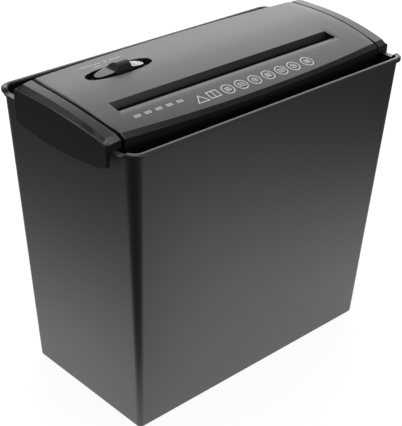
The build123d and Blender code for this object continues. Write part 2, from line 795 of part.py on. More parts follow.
with BuildPart() as paper_chute:
    with BuildSketch(Plane.XY.offset(chute_low)):
        with Locations((0, nip_y)):
            Rectangle(2 * chute_half, throat_gap + 2 * chute_wall)
    extrude(amount=collar_z - chute_low)
    with BuildSketch(Plane.XY.offset(chute_low)):
        with Locations((0, nip_y)):
            Rectangle(2 * slot_half, throat_gap)
    extrude(amount=collar_z - chute_low, mode=Mode.SUBTRACT)
    with BuildSketch(Plane.XY.offset(shelf_z)):
        with Locations((0, (chute_back_y + micro_y + micro_depth / 2 + 1) / 2)):
            Rectangle(2 * shelf_half, micro_y + micro_depth / 2 + 1 - chute_back_y)
    extrude(amount=shelf_thickness)
    for side in (-1, 1):
        with BuildSketch(across_x(side * (lever_half + lever_gap), lever_pivot)):
            Circle(3.0)
            with Locations(((chute_back_y - lever_pivot[0]) / 2, 0)):
                Rectangle(lever_pivot[0] - chute_back_y, 6.0)
            Circle(pin_radius + fit_clearance, mode=Mode.SUBTRACT)
        extrude(amount=side * ear_width)
    # opening for the lever
    with BuildSketch(Plane.XZ.offset(-throat_back + 1)):
        with Locations((0, chute_low + 10.0)):
            Rectangle(2 * (lever_half + lever_gap), 16.0)
    extrude(amount=-chute_wall - 1, mode=Mode.SUBTRACT)
paper_chute.part.label = "paper_chute"
export_step(paper_chute.part, "parts/paper_chute.step")

sensor_tip = (nip_y - 1.3 - lever_pivot[0], -6.0)

with BuildPart() as sensor_lever:
    with BuildSketch(across_x(-lever_half, lever_pivot)):
        Circle(2.5)
        with BuildLine():
            Polyline((-0.7, 1.9), (sensor_tip[0] - 0.4, sensor_tip[1] + 1.2), (sensor_tip[0], sensor_tip[1] - 0.4),
                     (sensor_tip[0] + 1.0, sensor_tip[1] - 0.6), (0.9, -2.0), close=True)
        make_face()
        with Locations((4.2, 0)):
            Rectangle(8.4, 2.2)
        Circle(pin_radius + running_clearance, mode=Mode.SUBTRACT)
    extrude(amount=2 * lever_half)
sensor_lever.part.label = "sensor_lever"
export_step(sensor_lever.part, "parts/sensor_lever.step")

pin_half = lever_half + lever_gap + ear_width
with BuildPart() as sensor_pin:
    with BuildSketch(across_x(-pin_half, lever_pivot)):
        Circle(pin_radius)
    extrude(amount=2 * pin_half)
sensor_pin.part.label = "sensor_pin"
export_step(sensor_pin.part, "parts/sensor_pin.step")

button_top = lever_pivot[1] - 1.1 - 0.4
with BuildPart() as sensor_switch:
    with BuildSketch(Plane.XY.offset(micro_z)):
        with Locations((0, micro_y)):
            RectangleRounded(micro_length, micro_depth, 0.6)
    extrude(amount=micro_height)
    with BuildSketch(Plane.XY.offset(micro_z + micro_height)):
        with Locations((0, micro_y)):
            Rectangle(2.4, 2.4)
    extrude(amount=button_top - micro_z - micro_height)
sensor_switch.part.label = "sensor_switch"
export_step(sensor_switch.part, "parts/sensor_switch.step")

# ---------------------------------------------------------------------------
# Frame: two steel plates joined by tie rods
# ---------------------------------------------------------------------------

plate_front_y = tub_front_y + tub_wall + plate_clearance + 0.1
plate_back_y = tub_back_y - tub_wall - plate_clearance - 0.1
plate_top = roller_z + plate_rise
tie_places = [(front_shaft_y - 8.3, plate_top - 6), (motor_y + 10, plate_top - 6),
              (rear_comb_y + comb_bar + 4.1, tub_floor_z + 6.4)]
comb_tab_z = roller_z - 4.0
comb_tab_height = 8.0
post_places = [(front_shaft_y - 0.3, plate_top - 6), (motor_y + 8, tub_floor_z + 9.4),
               (front_shaft_y - 2.3, tub_floor_z + 7.4)]
post_radius = 3.0
motor_boss_radius = 5.0
motor_screw_radius = 12.0
motor_screw_angle = radians(-10)
motor_screw_places = [(motor_y + side * motor_screw_radius * cos(motor_screw_angle),
                       motor_z + side * motor_screw_radius * sin(motor_screw_angle)) for side in (-1, 1)]


def frame_plate(side):
    """One frame plate with the holes common to both; side is -1 for left."""
    with BuildPart() as plate:
        with BuildSketch(across_x(side * plate_inner, (0, tub_floor_z))):
            with Locations(((plate_front_y + plate_back_y) / 2, (plate_top - tub_floor_z) / 2)):
                RectangleRounded(plate_back_y - plate_front_y, plate_top - tub_floor_z, 4)
            for y, z in (front_center, rear_center):
                with Locations((y, z - tub_floor_z)):
                    Circle(bush_radius + fit_clearance, mode=Mode.SUBTRACT)
            for y, z in tie_places:
                with Locations((y, z - tub_floor_z)):
                    Circle(tie_rod_radius - 1 + fit_clearance, mode=Mode.SUBTRACT)
            for y in (front_comb_y + comb_bar / 2, rear_comb_y + comb_bar / 2):
                with Locations((y, comb_tab_z - tub_floor_z)):
                    Rectangle(comb_bar + 0.1, comb_tab_height + 0.1, mode=Mode.SUBTRACT)
        extrude(amount=side * plate_thickness)
    return plate.part


left_frame_plate = frame_plate(-1)
left_frame_plate.label = "left_frame_plate"
export_step(left_frame_plate, "parts/left_frame_plate.step")

with BuildPart() as right_frame_plate:
    add(frame_plate(1))
    with BuildSketch(across_x(plate_inner)):
        with Locations(motor_center):
            Circle(motor_boss_radius + fit_clearance)
        with Locations(*motor_screw_places):
            Circle(small_screw_radius + screw_clearance)
        with Locations(first_center, second_center):
            Circle(axle_radius + fit_clearance)
        with Locations(*post_places):
            Circle(small_screw_radius + fit_clearance)
    extrude(amount=plate_thickness, mode=Mode.SUBTRACT)
right_frame_plate.part.label = "right_frame_plate"
export_step(right_frame_plate.part, "parts/right_frame_plate.step")

with BuildPart() as tie_rods:
    for place in tie_places:
        add(rod(-plate_outer, plate_outer, place, tie_rod_radius - 1))
        add(rod(-plate_inner, plate_inner, place, tie_rod_radius))
tie_rods.part.label = "tie_rods"
export_step(tie_rods.part, "parts/tie_rods.step")

bush_flange = 0.8
with BuildPart() as cutter_bushes:
    for side in (-1, 1):
        for center in (front_center, rear_center):
            with BuildSketch(across_x(side * (plate_inner - bush_flange), center)):
                Circle(bush_radius + 1.2)
                Circle(journal_radius + running_clearance, mode=Mode.SUBTRACT)
            extrude(amount=side * bush_flange)
            with BuildSketch(across_x(side * plate_inner, center)):
                Circle(bush_radius)
                Circle(journal_radius + running_clearance, mode=Mode.SUBTRACT)
            extrude(amount=side * plate_thickness)
cutter_bushes.part.label = "cutter_bushes"
export_step(cutter_bushes.part, "parts/cutter_bushes.step")

# ---------------------------------------------------------------------------
# Cutters: two shafts with interleaved notched discs
# ---------------------------------------------------------------------------

core_half = plate_inner - bush_flange - 0.6
journal_end = plate_outer + 0.2
clip_gap = 0.15
clip_thickness = 0.8
clip_radius = 4.6
clip_groove = 2.6
hex_end = layer_a + gear_width + clip_gap + clip_thickness + 0.9
clip_x = layer_a + gear_width + clip_gap
hex_corner = hex_flat / 2 / cos(pi / 6)


def cutter(center, disc_count, right_drive):
    """Cutter shaft with evenly pitched discs; right_drive adds the hexagon for the output gear."""
    with BuildPart() as body:
        add(rod(-core_half, core_half, center, core_radius))
        add(rod(-journal_end, journal_end, center, journal_radius))
        for side in (-1, 1) if right_drive else (-1,):
            with BuildSketch(across_x(side * (journal_end - 0.5), center)):
                RegularPolygon(hex_corner, 6)
            extrude(amount=side * (hex_end - journal_end + 0.5))
            with BuildSketch(across_x(side * (clip_x - 0.05), center)):
                Circle(hex_corner + 1)
                Circle(clip_groove, mode=Mode.SUBTRACT)
            extrude(amount=side * (clip_thickness + 0.1), mode=Mode.SUBTRACT)
        starts = [(k - (disc_count - 1) / 2) * cutter_pitch - cutter_width / 2 for k in range(disc_count)]
        with BuildSketch(*[across_x(x, center) for x in starts]):
            Circle(cutter_radius)
            with PolarLocations(cutter_radius, bite_count):
                Rectangle(2 * bite_depth, 1.8, mode=Mode.SUBTRACT)
        extrude(amount=cutter_width)
    return body.part


front_cutter = cutter(front_center, front_disc_count, False)
front_cutter.label = "front_cutter"
export_step(front_cutter, "parts/front_cutter.step")

rear_cutter = cutter(rear_center, front_disc_count + 1, True)
rear_cutter.label = "rear_cutter"
export_step(rear_cutter, "parts/rear_cutter.step")


def clip(side, center):
    """Open retaining clip in a shaft's groove."""
    with BuildPart() as ring:
        with BuildSketch(across_x(side * clip_x, center)):
            Circle(clip_radius)
            Circle(clip_groove + fit_clearance, mode=Mode.SUBTRACT)
            with Locations((0, -clip_radius)):
                Rectangle(1.7 * clip_groove, 2 * clip_radius, mode=Mode.SUBTRACT)
        extrude(amount=side * clip_thickness)
    return ring.part


front_shaft_clip = clip(-1, front_center)
front_shaft_clip.label = "front_shaft_clip"
export_step(front_shaft_clip, "parts/front_shaft_clip.step")

with BuildPart() as rear_shaft_clips:
    for side in (-1, 1):
        add(clip(side, rear_center))
rear_shaft_clips.part.label = "rear_shaft_clips"
export_step(rear_shaft_clips.part, "parts/rear_shaft_clips.step")

# ---------------------------------------------------------------------------
# Gears: involute flanks drawn as short straight lines
# ---------------------------------------------------------------------------

def tooth_outline(module, teeth, phase):
    """Outline of a spur gear about the origin; phase is the angle of one tooth's middle."""
    pitch = module * teeth / 2
    base = pitch * cos(pressure_angle)
    tip = pitch + 0.8 * module
    root = pitch - 1.1 * module
    half = pi / (2 * teeth) - tooth_thinning / (2 * pitch) + tan(pressure_angle) - pressure_angle
    start = max(base, root)
    flank = [] if root > base else [(root, half)]
    for i in range(4):
        radius = start + (tip - start) * i / 3
        roll = acos(min(1, base / radius))
        flank.append((radius, half - tan(roll) + roll))
    points = []
    for i in range(teeth):
        middle = phase + 2 * pi * i / teeth
        points += [(r * cos(middle - a), r * sin(middle - a)) for r, a in flank]
        points += [(r * cos(middle + a), r * sin(middle + a)) for r, a in reversed(flank)]
    return points


def meshed_phase(from_center, to_center, from_phase, from_teeth, to_teeth):
    """Phase at which the second gear's teeth fall in the first one's gaps."""
    line = atan2(to_center[1] - from_center[1], to_center[0] - from_center[0])
    share = (line - from_phase) / (2 * pi / from_teeth)
    return line + pi - (0.5 - share) * 2 * pi / to_teeth


def spur(x_start, width, center, module, teeth, phase):
    """Solid spur gear across X."""
    with BuildPart() as blank:
        with BuildSketch(across_x(x_start, center)):
            with BuildLine():
                Polyline(*tooth_outline(module, teeth, phase), close=True)
            make_face()
        extrude(amount=width)
    return blank.part


first_phase = meshed_phase(motor_center, first_center, 0, pinion_teeth, fast_teeth)
second_phase = meshed_phase(first_center, second_center, 0, pinion_teeth, middle_teeth)
output_phase = meshed_phase(second_center, rear_center, 0, pinion_teeth, output_teeth)
front_phase = meshed_phase(rear_center, front_center, 0, sync_teeth, sync_teeth)

# round windows in the gears' webs, as (distance from the axle, radius)
window_count = 6
output_window = (14.2, 4.2)
second_window = (12.6, 3.2)
first_window = (9.4, 2.2)

with BuildPart() as front_sync_gear:
    add(spur(-layer_a - gear_width, gear_width, front_center, sync_module, sync_teeth, front_phase))
    with BuildSketch(across_x(-layer_a - gear_width, front_center)):
        RegularPolygon(hex_corner + 0.05, 6)
    extrude(amount=gear_width, mode=Mode.SUBTRACT)
front_sync_gear.part.label = "front_sync_gear"
export_step(front_sync_gear.part, "parts/front_sync_gear.step")

with BuildPart() as rear_sync_gear:
    add(spur(-layer_a - gear_width, gear_width, rear_center, sync_module, sync_teeth, 0))
    with BuildSketch(across_x(-layer_a - gear_width, rear_center)):
        RegularPolygon(hex_corner + 0.05, 6)
    extrude(amount=gear_width, mode=Mode.SUBTRACT)
rear_sync_gear.part.label = "rear_sync_gear"
export_step(rear_sync_gear.part, "parts/rear_sync_gear.step")

with BuildPart() as output_gear:
    add(spur(layer_a, gear_width, rear_center, output_module, output_teeth, output_phase))
    with BuildSketch(across_x(layer_a, rear_center)):
        with PolarLocations(output_window[0], window_count, start_angle=30):
            Circle(output_window[1])
        RegularPolygon(hex_corner + 0.05, 6)
    extrude(amount=gear_width, mode=Mode.SUBTRACT)
output_gear.part.label = "output_gear"
export_step(output_gear.part, "parts/output_gear.step")

with BuildPart() as second_gear:
    add(spur(layer_b, gear_width, second_center, middle_module, middle_teeth, second_phase))
    with BuildSketch(across_x(layer_b, second_center)):
        with PolarLocations(second_window[0], window_count):
            Circle(second_window[1])
    extrude(amount=gear_width, mode=Mode.SUBTRACT)
    add(spur(layer_a, layer_b - layer_a + 0.5, second_center, output_module, pinion_teeth, 0))
    with BuildSketch(across_x(layer_a, second_center)):
        Circle(axle_radius + running_clearance)
    extrude(amount=layer_b + gear_width - layer_a, mode=Mode.SUBTRACT)
second_gear.part.label = "second_gear"
export_step(second_gear.part, "parts/second_gear.step")

with BuildPart() as first_gear:
    add(spur(layer_a, gear_width, first_center, fast_module, fast_teeth, first_phase))
    with BuildSketch(across_x(layer_a, first_center)):
        with PolarLocations(first_window[0], window_count):
            Circle(first_window[1])
    extrude(amount=gear_width, mode=Mode.SUBTRACT)
    add(spur(layer_a + gear_width - 0.5, layer_b - layer_a + 0.5, first_center, middle_module, pinion_teeth, 0))
    with BuildSketch(across_x(layer_a, first_center)):
        Circle(axle_radius + running_clearance)
    extrude(amount=layer_b + gear_width - layer_a, mode=Mode.SUBTRACT)
first_gear.part.label = "first_gear"
export_step(first_gear.part, "parts/first_gear.step")

with BuildPart() as motor_pinion:
    add(spur(layer_a, gear_width, motor_center, fast_module, pinion_teeth, 0))
    with BuildSketch(across_x(layer_a, motor_center)):
        Circle(motor_shaft_radius + fit_clearance)
    extrude(amount=gear_width, mode=Mode.SUBTRACT)
motor_pinion.part.label = "motor_pinion"
export_step(motor_pinion.part, "parts/motor_pinion.step")

with BuildPart() as gear_axles:
    for center in (first_center, second_center):
        add(rod(plate_inner, gear_cover_x + gear_cover_thickness, center, axle_radius))
gear_axles.part.label = "gear_axles"
export_step(gear_axles.part, "parts/gear_axles.step")

# ---------------------------------------------------------------------------
# Gear cover on three posts
# ---------------------------------------------------------------------------

gear_cover_front = front_shaft_y - 4.3
gear_cover_back = motor_y + 12.0
gear_cover_low = tub_floor_z + 3.4
gear_cover_top = plate_top + 2.0
cover_seat_x = gear_cover_x + gear_cover_thickness - 0.9

with BuildPart() as gear_cover:
    with BuildSketch(across_x(gear_cover_x, (0, gear_cover_low))):
        with Locations(((gear_cover_front + gear_cover_back) / 2, (gear_cover_top - gear_cover_low) / 2)):
            RectangleRounded(gear_cover_back - gear_cover_front, gear_cover_top - gear_cover_low, 4)
    extrude(amount=gear_cover_thickness)
    for place in post_places:
        add(rod(plate_outer, gear_cover_x, place, post_radius))
    with BuildSketch(across_x(plate_outer)):
        with Locations(*post_places):
            Circle(small_screw_radius + screw_clearance)
    extrude(amount=gear_cover_x + gear_cover_thickness - plate_outer, mode=Mode.SUBTRACT)
    with BuildSketch(across_x(cover_seat_x)):
        with Locations(*post_places):
            Circle(small_head_radius + head_clearance)
    extrude(amount=gear_cover_thickness, mode=Mode.SUBTRACT)
    with BuildSketch(across_x(gear_cover_x)):
        with Locations(first_center, second_center):
            Circle(axle_radius + fit_clearance)
    extrude(amount=gear_cover_thickness, mode=Mode.SUBTRACT)
gear_cover.part.label = "gear_cover"
export_step(gear_cover.part, "parts/gear_cover.step")

with BuildPart() as gear_cover_screws:
    for place in post_places:
        seat = across_x(cover_seat_x, place)
        add(screw(seat, small_screw_radius, cover_seat_x - plate_inner, small_head_radius, small_head_height))
gear_cover_screws.part.label = "gear_cover_screws"
export_step(gear_cover_screws.part, "parts/gear_cover_screws.step")

# ---------------------------------------------------------------------------
# Stripper combs between the discs
# ---------------------------------------------------------------------------

finger_low = roller_z - 11.0
finger_high = roller_z + 3.0


def comb(bar_y, bar_side, center, finger_xs):
    """Bar with a finger in every groove; bar_side is -1 when the bar is in front of the cutter."""
    tip_y = center[0] + bar_side * 2.0
    edge_y = bar_y + (comb_bar if bar_side < 0 else 0)
    with BuildPart() as body:
        with BuildSketch(across_x(-plate_inner, (bar_y + comb_bar / 2, (finger_low + finger_high) / 2))):
            Rectangle(comb_bar, finger_high - finger_low)
        extrude(amount=2 * plate_inner)
        with BuildSketch(across_x(-plate_outer, (bar_y + comb_bar / 2, comb_tab_z))):
            Rectangle(comb_bar, comb_tab_height)
        extrude(amount=2 * plate_outer)
        with BuildSketch(*[across_x(x - comb_finger / 2) for x in finger_xs]):
            with BuildLine():
                Polyline((edge_y + bar_side * 0.5, finger_high), (tip_y, finger_high),
                         (tip_y, finger_low + 2), (edge_y + bar_side * 0.5, finger_low), close=True)
            make_face()
            with Locations(center):
                Circle(core_radius + core_gap, mode=Mode.SUBTRACT)
        extrude(amount=comb_finger)
    return body.part


front_finger_xs = [(k + 0.5) * cutter_pitch for k in range(-9, 9)]
rear_finger_xs = [k * cutter_pitch for k in range(-8, 9)]

front_stripper_comb = comb(front_comb_y, -1, front_center, front_finger_xs)
front_stripper_comb.label = "front_stripper_comb"
export_step(front_stripper_comb, "parts/front_stripper_comb.step")

rear_stripper_comb = comb(rear_comb_y, 1, rear_center, rear_finger_xs)
rear_stripper_comb.label = "rear_stripper_comb"
export_step(rear_stripper_comb, "parts/rear_stripper_comb.step")

# ---------------------------------------------------------------------------
# Motor: can, magnets, end bell and armature
# ---------------------------------------------------------------------------

motor_tail = plate_inner - motor_length
bell_thickness = 4.0
bell_spigot = 2.0
tag_spacing = 9.0
tag_length = 5.0
tag_thickness = 0.8
can_start = motor_tail + bell_thickness

with BuildPart() as motor_can:
    add(rod(can_start, plate_inner, motor_center, motor_radius))
    add(rod(can_start, plate_inner - motor_wall, motor_center, motor_radius - motor_wall), mode=Mode.SUBTRACT)
    add(rod(plate_inner, plate_outer, motor_center, motor_boss_radius))
    add(rod(can_start, plate_outer, motor_center, motor_shaft_radius + running_clearance), mode=Mode.SUBTRACT)
    with BuildSketch(across_x(plate_inner)):
        with Locations(*motor_screw_places):
            Circle(small_screw_radius + fit_clearance)
    extrude(amount=-motor_wall, mode=Mode.SUBTRACT)
motor_can.part.label = "motor_can"
export_step(motor_can.part, "parts/motor_can.step")

magnet_start = can_start + 8.0
magnet_end = plate_inner - motor_wall - 6.0
with BuildPart() as motor_magnets:
    with BuildSketch(across_x(magnet_start, motor_center)):
        Circle(motor_radius - motor_wall)
        Circle(motor_radius - motor_wall - magnet_thickness, mode=Mode.SUBTRACT)
        Rectangle(3 * motor_radius, 0.7 * motor_radius, mode=Mode.SUBTRACT)
    extrude(amount=magnet_end - magnet_start)
motor_magnets.part.label = "motor_magnets"
export_step(motor_magnets.part, "parts/motor_magnets.step")

with BuildPart() as motor_end_bell:
    add(rod(motor_tail, can_start, motor_center, motor_radius))
    add(rod(can_start, can_start + bell_spigot, motor_center, motor_radius - motor_wall - fit_clearance))
    add(rod(motor_tail + 1, can_start + bell_spigot, motor_center, motor_shaft_radius + running_clearance),
        mode=Mode.SUBTRACT)
    with BuildSketch(across_x(motor_tail, motor_center)):
        with Locations((tag_spacing, 0), (-tag_spacing, 0)):
            Rectangle(tag_thickness, tag_length)
    extrude(amount=-tag_length)
motor_end_bell.part.label = "motor_end_bell"
export_step(motor_end_bell.part, "parts/motor_end_bell.step")

core_start = magnet_start + 2
core_end = magnet_end - 2
pole_count = 5
pole_gap = 2.4
pole_depth = 6.0
commutator_radius = 5.0
with BuildPart() as motor_armature:
    add(rod(motor_tail + 1.5, layer_a + gear_width, motor_center, motor_shaft_radius))
    add(rod(core_start, core_end, motor_center, armature_radius))
    with BuildSketch(across_x(core_start, motor_center)):
        with PolarLocations(armature_radius, pole_count):
            Rectangle(2 * pole_depth, pole_gap)
    extrude(amount=core_end - core_start, mode=Mode.SUBTRACT)
    add(rod(can_start + 2.5, core_start + 1, motor_center, commutator_radius))
motor_armature.part.label = "motor_armature"
export_step(motor_armature.part, "parts/motor_armature.step")

with BuildPart() as motor_screws:
    for place in motor_screw_places:
        seat = across_x(plate_outer, place)
        add(screw(seat, small_screw_radius, plate_thickness + motor_wall - 0.1, small_head_radius,
                  small_head_height))
motor_screws.part.label = "motor_screws"
export_step(motor_screws.part, "parts/motor_screws.step")

cutout_x = motor_tail + 24.0
cutout_length = 14.0
cutout_width = 8.0
cutout_height = 3.5

with BuildPart() as thermal_cutout:
    with BuildSketch(Plane.XY.offset(motor_z + motor_radius - 1)):
        with Locations((cutout_x, motor_y)):
            RectangleRounded(cutout_length, cutout_width, 1)
    extrude(amount=cutout_height + 1)
    add(rod(cutout_x - 10, cutout_x + 10, motor_center, motor_radius), mode=Mode.SUBTRACT)
thermal_cutout.part.label = "thermal_cutout"
export_step(thermal_cutout.part, "parts/thermal_cutout.step")

# ---------------------------------------------------------------------------
# Circuit board with its relay, capacitor and rectifier
# ---------------------------------------------------------------------------

with BuildPart() as circuit_board:
    with BuildSketch(Plane.XY.offset(board_z)):
        with Locations((board_x, board_y)):
            RectangleRounded(board_length, board_width, 1.5)
        with Locations(*board_screw_places):
            Circle(small_screw_radius + screw_clearance, mode=Mode.SUBTRACT)
    extrude(amount=board_thickness)
circuit_board.part.label = "circuit_board"
export_step(circuit_board.part, "parts/circuit_board.step")

board_top = board_z + board_thickness


def board_block(x, y, length, width, height, edge):
    """Rounded block standing on the board, placed from the board's middle."""
    with BuildPart() as block:
        with BuildSketch(Plane.XY.offset(board_top)):
            with Locations((board_x + x, board_y + y)):
                Rectangle(length, width)
        extrude(amount=height)
        fillet(block.edges().group_by(Axis.Z)[-1], edge)
    return block.part


power_relay = board_block(-22, 1, 19.0, 15.5, 15.3, 0.6)
power_relay.label = "power_relay"
export_step(power_relay, "parts/power_relay.step")

noise_capacitor = board_block(4, -4, 18.0, 8.5, 14.5, 0.8)
noise_capacitor.label = "noise_capacitor"
export_step(noise_capacitor, "parts/noise_capacitor.step")

rectifier = board_block(25, 6, 15.0, 4.0, 12.0, 0.5)
rectifier.label = "rectifier"
export_step(rectifier, "parts/rectifier.step")

with BuildPart() as board_screws:
    for x, y in board_screw_places:
        seat = Plane.XY.offset(board_top).move(Location((x, y, 0)))
        add(screw(seat, small_screw_radius, board_thickness + board_standoff - 0.3, small_head_radius,
                  small_head_height))
board_screws.part.label = "board_screws"
export_step(board_screws.part, "parts/board_screws.step")
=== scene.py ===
from math import cos, pi, radians, sin, sqrt

import bmesh
import bpy
from mathutils import Matrix, Vector


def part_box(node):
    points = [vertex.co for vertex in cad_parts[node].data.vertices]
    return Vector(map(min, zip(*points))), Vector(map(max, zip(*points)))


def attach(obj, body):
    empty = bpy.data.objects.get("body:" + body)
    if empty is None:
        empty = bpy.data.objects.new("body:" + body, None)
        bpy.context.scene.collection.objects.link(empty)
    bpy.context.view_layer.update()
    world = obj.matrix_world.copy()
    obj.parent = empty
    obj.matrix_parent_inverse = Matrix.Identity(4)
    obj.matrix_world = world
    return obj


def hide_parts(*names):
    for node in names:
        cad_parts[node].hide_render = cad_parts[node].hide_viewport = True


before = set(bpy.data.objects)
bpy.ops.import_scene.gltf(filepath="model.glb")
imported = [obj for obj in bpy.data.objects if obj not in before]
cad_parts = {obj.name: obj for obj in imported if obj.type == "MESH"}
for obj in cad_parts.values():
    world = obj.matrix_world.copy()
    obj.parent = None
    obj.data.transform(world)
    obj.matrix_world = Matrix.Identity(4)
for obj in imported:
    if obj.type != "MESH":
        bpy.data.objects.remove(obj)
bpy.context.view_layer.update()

scene = bpy.context.scene
scene.view_settings.view_transform = "Standard"

# ---------------------------------------------------------------------------
# Camera. It looks down on the shredder from its front left corner, on a
# lens of about 97 mm, and turns a little about its own line of sight.
# ---------------------------------------------------------------------------

view_turn = radians(-43.584)
view_rise = radians(29.458)
view_roll = radians(1.658)
view_target = Vector((-0.00724, -0.00317, 0.12075))
view_distance = 0.9253

view_back = Vector((sin(view_turn) * cos(view_rise), -cos(view_turn) * cos(view_rise), sin(view_rise)))
level_right = Vector((cos(view_turn), sin(view_turn), 0))
level_up = view_back.cross(level_right)
view_right = level_right * cos(view_roll) + level_up * sin(view_roll)
view_up = view_back.cross(view_right)
view_axes = Matrix((view_right, view_up, view_back)).transposed().to_4x4()
camera = bpy.data.objects.new("camera", bpy.data.cameras.new("camera"))
camera.data.lens = 97.445
camera.data.sensor_width = 36
camera.matrix_world = Matrix.Translation(view_target + view_back * view_distance) @ view_axes
scene.collection.objects.link(camera)
scene.camera = camera

# ---------------------------------------------------------------------------
# Floor and soft studio light. The floor glows, though it is no lamp: for all
# but camera and transmission rays its glow is a painted pool of light, bright
# behind and beside the shredder and fading out in front of it, where it is
# dark. The camera sees it white all over, apart from the soft shadow.
# ---------------------------------------------------------------------------


def new_material(name):
    """A new material with its node tree and its Principled shader."""
    material = bpy.data.materials.new(name)
    material.use_nodes = True
    tree = material.node_tree
    return material, tree, tree.nodes["Principled BSDF"]


def add_node(tree, kind, **settings):
    """A shader node of that kind, with its own settings and its sockets' values set by name."""
    node = tree.nodes.new(kind)
    for key, value in settings.items():
        if hasattr(node, key):
            setattr(node, key, value)
        else:
            node.inputs[key.replace("_", " ").title()].default_value = value
    return node


def wire(tree, *links):
    """Lead each (node, output) to its (node, input)."""
    for node, output, target, socket in links:
        tree.links.new(node.outputs[output], target.inputs[socket])


floor_reach = 1.6
floor_middle = 0.5
floor_drop = 0.0006
sheet = bmesh.new()
bmesh.ops.create_grid(sheet, x_segments=1, y_segments=1, size=floor_reach)
bmesh.ops.translate(sheet, vec=(floor_middle, floor_middle, -floor_drop), verts=sheet.verts)
floor_mesh = bpy.data.meshes.new("floor")
sheet.to_mesh(floor_mesh)
sheet.free()
floor = bpy.data.objects.new("floor", floor_mesh)
scene.collection.objects.link(floor)

floor_paint, tree, shader = new_material("floor_painted_glow")
shader.inputs["Base Color"].default_value = (0.1, 0.1, 0.1, 1)
shader.inputs["Roughness"].default_value = 0.9
where = add_node(tree, "ShaderNodeTexCoord")


def turned_axes(turn):
    """The sheet's x and y, turned about the upright."""
    turned = add_node(tree, "ShaderNodeMapping", rotation=(0, 0, turn))
    axes = add_node(tree, "ShaderNodeSeparateXYZ")
    wire(tree, (where, "Object", turned, "Vector"), (turned, "Vector", axes, "Vector"))
    return axes


def fade(axes, axis, start, end, first=0.0, last=1.0):
    """The floor's painted glow along one axis, going softly from first at start to last at end, in metres.
    """
    ramp = add_node(tree, "ShaderNodeMapRange", interpolation_type="SMOOTHSTEP", from_min=start,
                    from_max=end, to_min=first, to_max=last)
    wire(tree, (axes, axis, ramp, "Value"))
    return ramp


view_axes_on_floor = turned_axes(-view_turn)
half_turned_axes = turned_axes(-view_turn / 2)
glow_fade_near = fade(view_axes_on_floor, "Y", -0.22, -0.13)
behind = fade(view_axes_on_floor, "Y", 0.0, 0.2, 1.2, 2.0)
glow_fade_far = fade(view_axes_on_floor, "Y", 0.3, 0.6, 1.0, 0.0)
glow_fade_left = fade(half_turned_axes, "X", -0.42, -0.13)
glow_fade_right = fade(view_axes_on_floor, "X", 0.15, 0.5, 1.0, 0.0)
# the fades multiply into the floor's painted glow, a pool of light painted on the floor that lights and is
# mirrored in the shredder
painted_glow, painted_glow_output = glow_fade_near, "Result"
for other in (behind, glow_fade_left, glow_fade_right, glow_fade_far):
    product = add_node(tree, "ShaderNodeMath", operation="MULTIPLY")
    wire(tree, (painted_glow, painted_glow_output, product, 0), (other, "Result", product, 1))
    painted_glow, painted_glow_output = product, 0
# camera and transmission rays see an even 0.93 white; all other rays see the painted pool of light
path = add_node(tree, "ShaderNodeLightPath")
seen = add_node(tree, "ShaderNodeMath", operation="MAXIMUM")
white = add_node(tree, "ShaderNodeMix", data_type="FLOAT", b=0.93)
glow = add_node(tree, "ShaderNodeEmission")
both = add_node(tree, "ShaderNodeAddShader")
wire(tree, (path, "Is Camera Ray", seen, 0), (path, "Is Transmission Ray", seen, 1),
     (seen, 0, white, "Factor"), (painted_glow, painted_glow_output, white, "A"), (white, "Result", glow, "Strength"),
     (shader, "BSDF", both, 0), (glow, "Emission", both, 1),
     (both, "Shader", tree.nodes["Material Output"], "Surface"))
floor.data.materials.append(floor_paint)

world = bpy.data.worlds.new("studio")
world.use_nodes = True
tree = world.node_tree
background = tree.nodes["Background"]
background.inputs["Color"].default_value = (1, 1, 1, 1)
path = add_node(tree, "ShaderNodeLightPath")
white = add_node(tree, "ShaderNodeMix", data_type="FLOAT", a=0.11, b=1.0)
wire(tree, (path, "Is Camera Ray", white, "Factor"), (white, "Result", background, "Strength"))
scene.world = world


def soft_lamp(name, place, aim_z, size, power):
    """An area lamp of size (width, height) in metres, turned to the shredder at that height."""
    lamp = bpy.data.lights.new(name, "AREA")
    lamp.shape = "RECTANGLE"
    lamp.size, lamp.size_y = size
    lamp.energy = power
    lamp.color = (0.96, 0.965, 1.0)
    holder = bpy.data.objects.new(name, lamp)
    holder.location = place
    holder.rotation_euler = (Vector(place) - Vector((0, 0, aim_z))).to_track_quat("Z", "Y").to_euler()
    holder.visible_camera = False
    scene.collection.objects.link(holder)


soft_lamp("back_panel", (1.26, 1.30, 1.0), 0.15, (2.3, 1.9), 31)
soft_lamp("low_back_strip", (1.40, 1.40, 0.32), 0.15, (1.1, 0.34), 6)
soft_lamp("front_strip", (0.50, -1.87, 0.63), 0.15, (0.95, 0.5), 8.0)
soft_lamp("left_back_strip", (-1.55, 1.26, 0.33), 0.2, (1.0, 0.4), 2.0)
soft_lamp("left_back_kicker", (-0.98, 1.26, 1.35), 0.2, (0.5, 0.5), 4.5)
soft_lamp("overhead", (-0.1, -0.1, 1.9), 0.2, (1.0, 1.0), 14)

# ---------------------------------------------------------------------------
# Waste bin: a tapered box injection-moulded in black polypropylene, with a
# rolled lip. The lip is cut down at both ends, where the head rests on it.
# ---------------------------------------------------------------------------

bin_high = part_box("waste_bin")[1] * 1000
wall = 2.0
rim_half_width = 2.325
rim_crown = 1.8
rim_depth = 3.4
lip_overhang = 2.65
shoulder_z = bin_high.z - rim_crown
rim_low = bin_high.z - rim_depth
mouth_half = bin_high.x - lip_overhang
mouth_half_width = bin_high.y - lip_overhang
base_half = mouth_half - 15.2
base_half_width = mouth_half_width - 11.15
base_corner = 4.0
corner_growth = 4.5
base_fillet = 2.6
notch_z = 238.0
notch_half = 65.5
notch_slope = 4
notch_reach = 120
ledge_thickness = 1.4


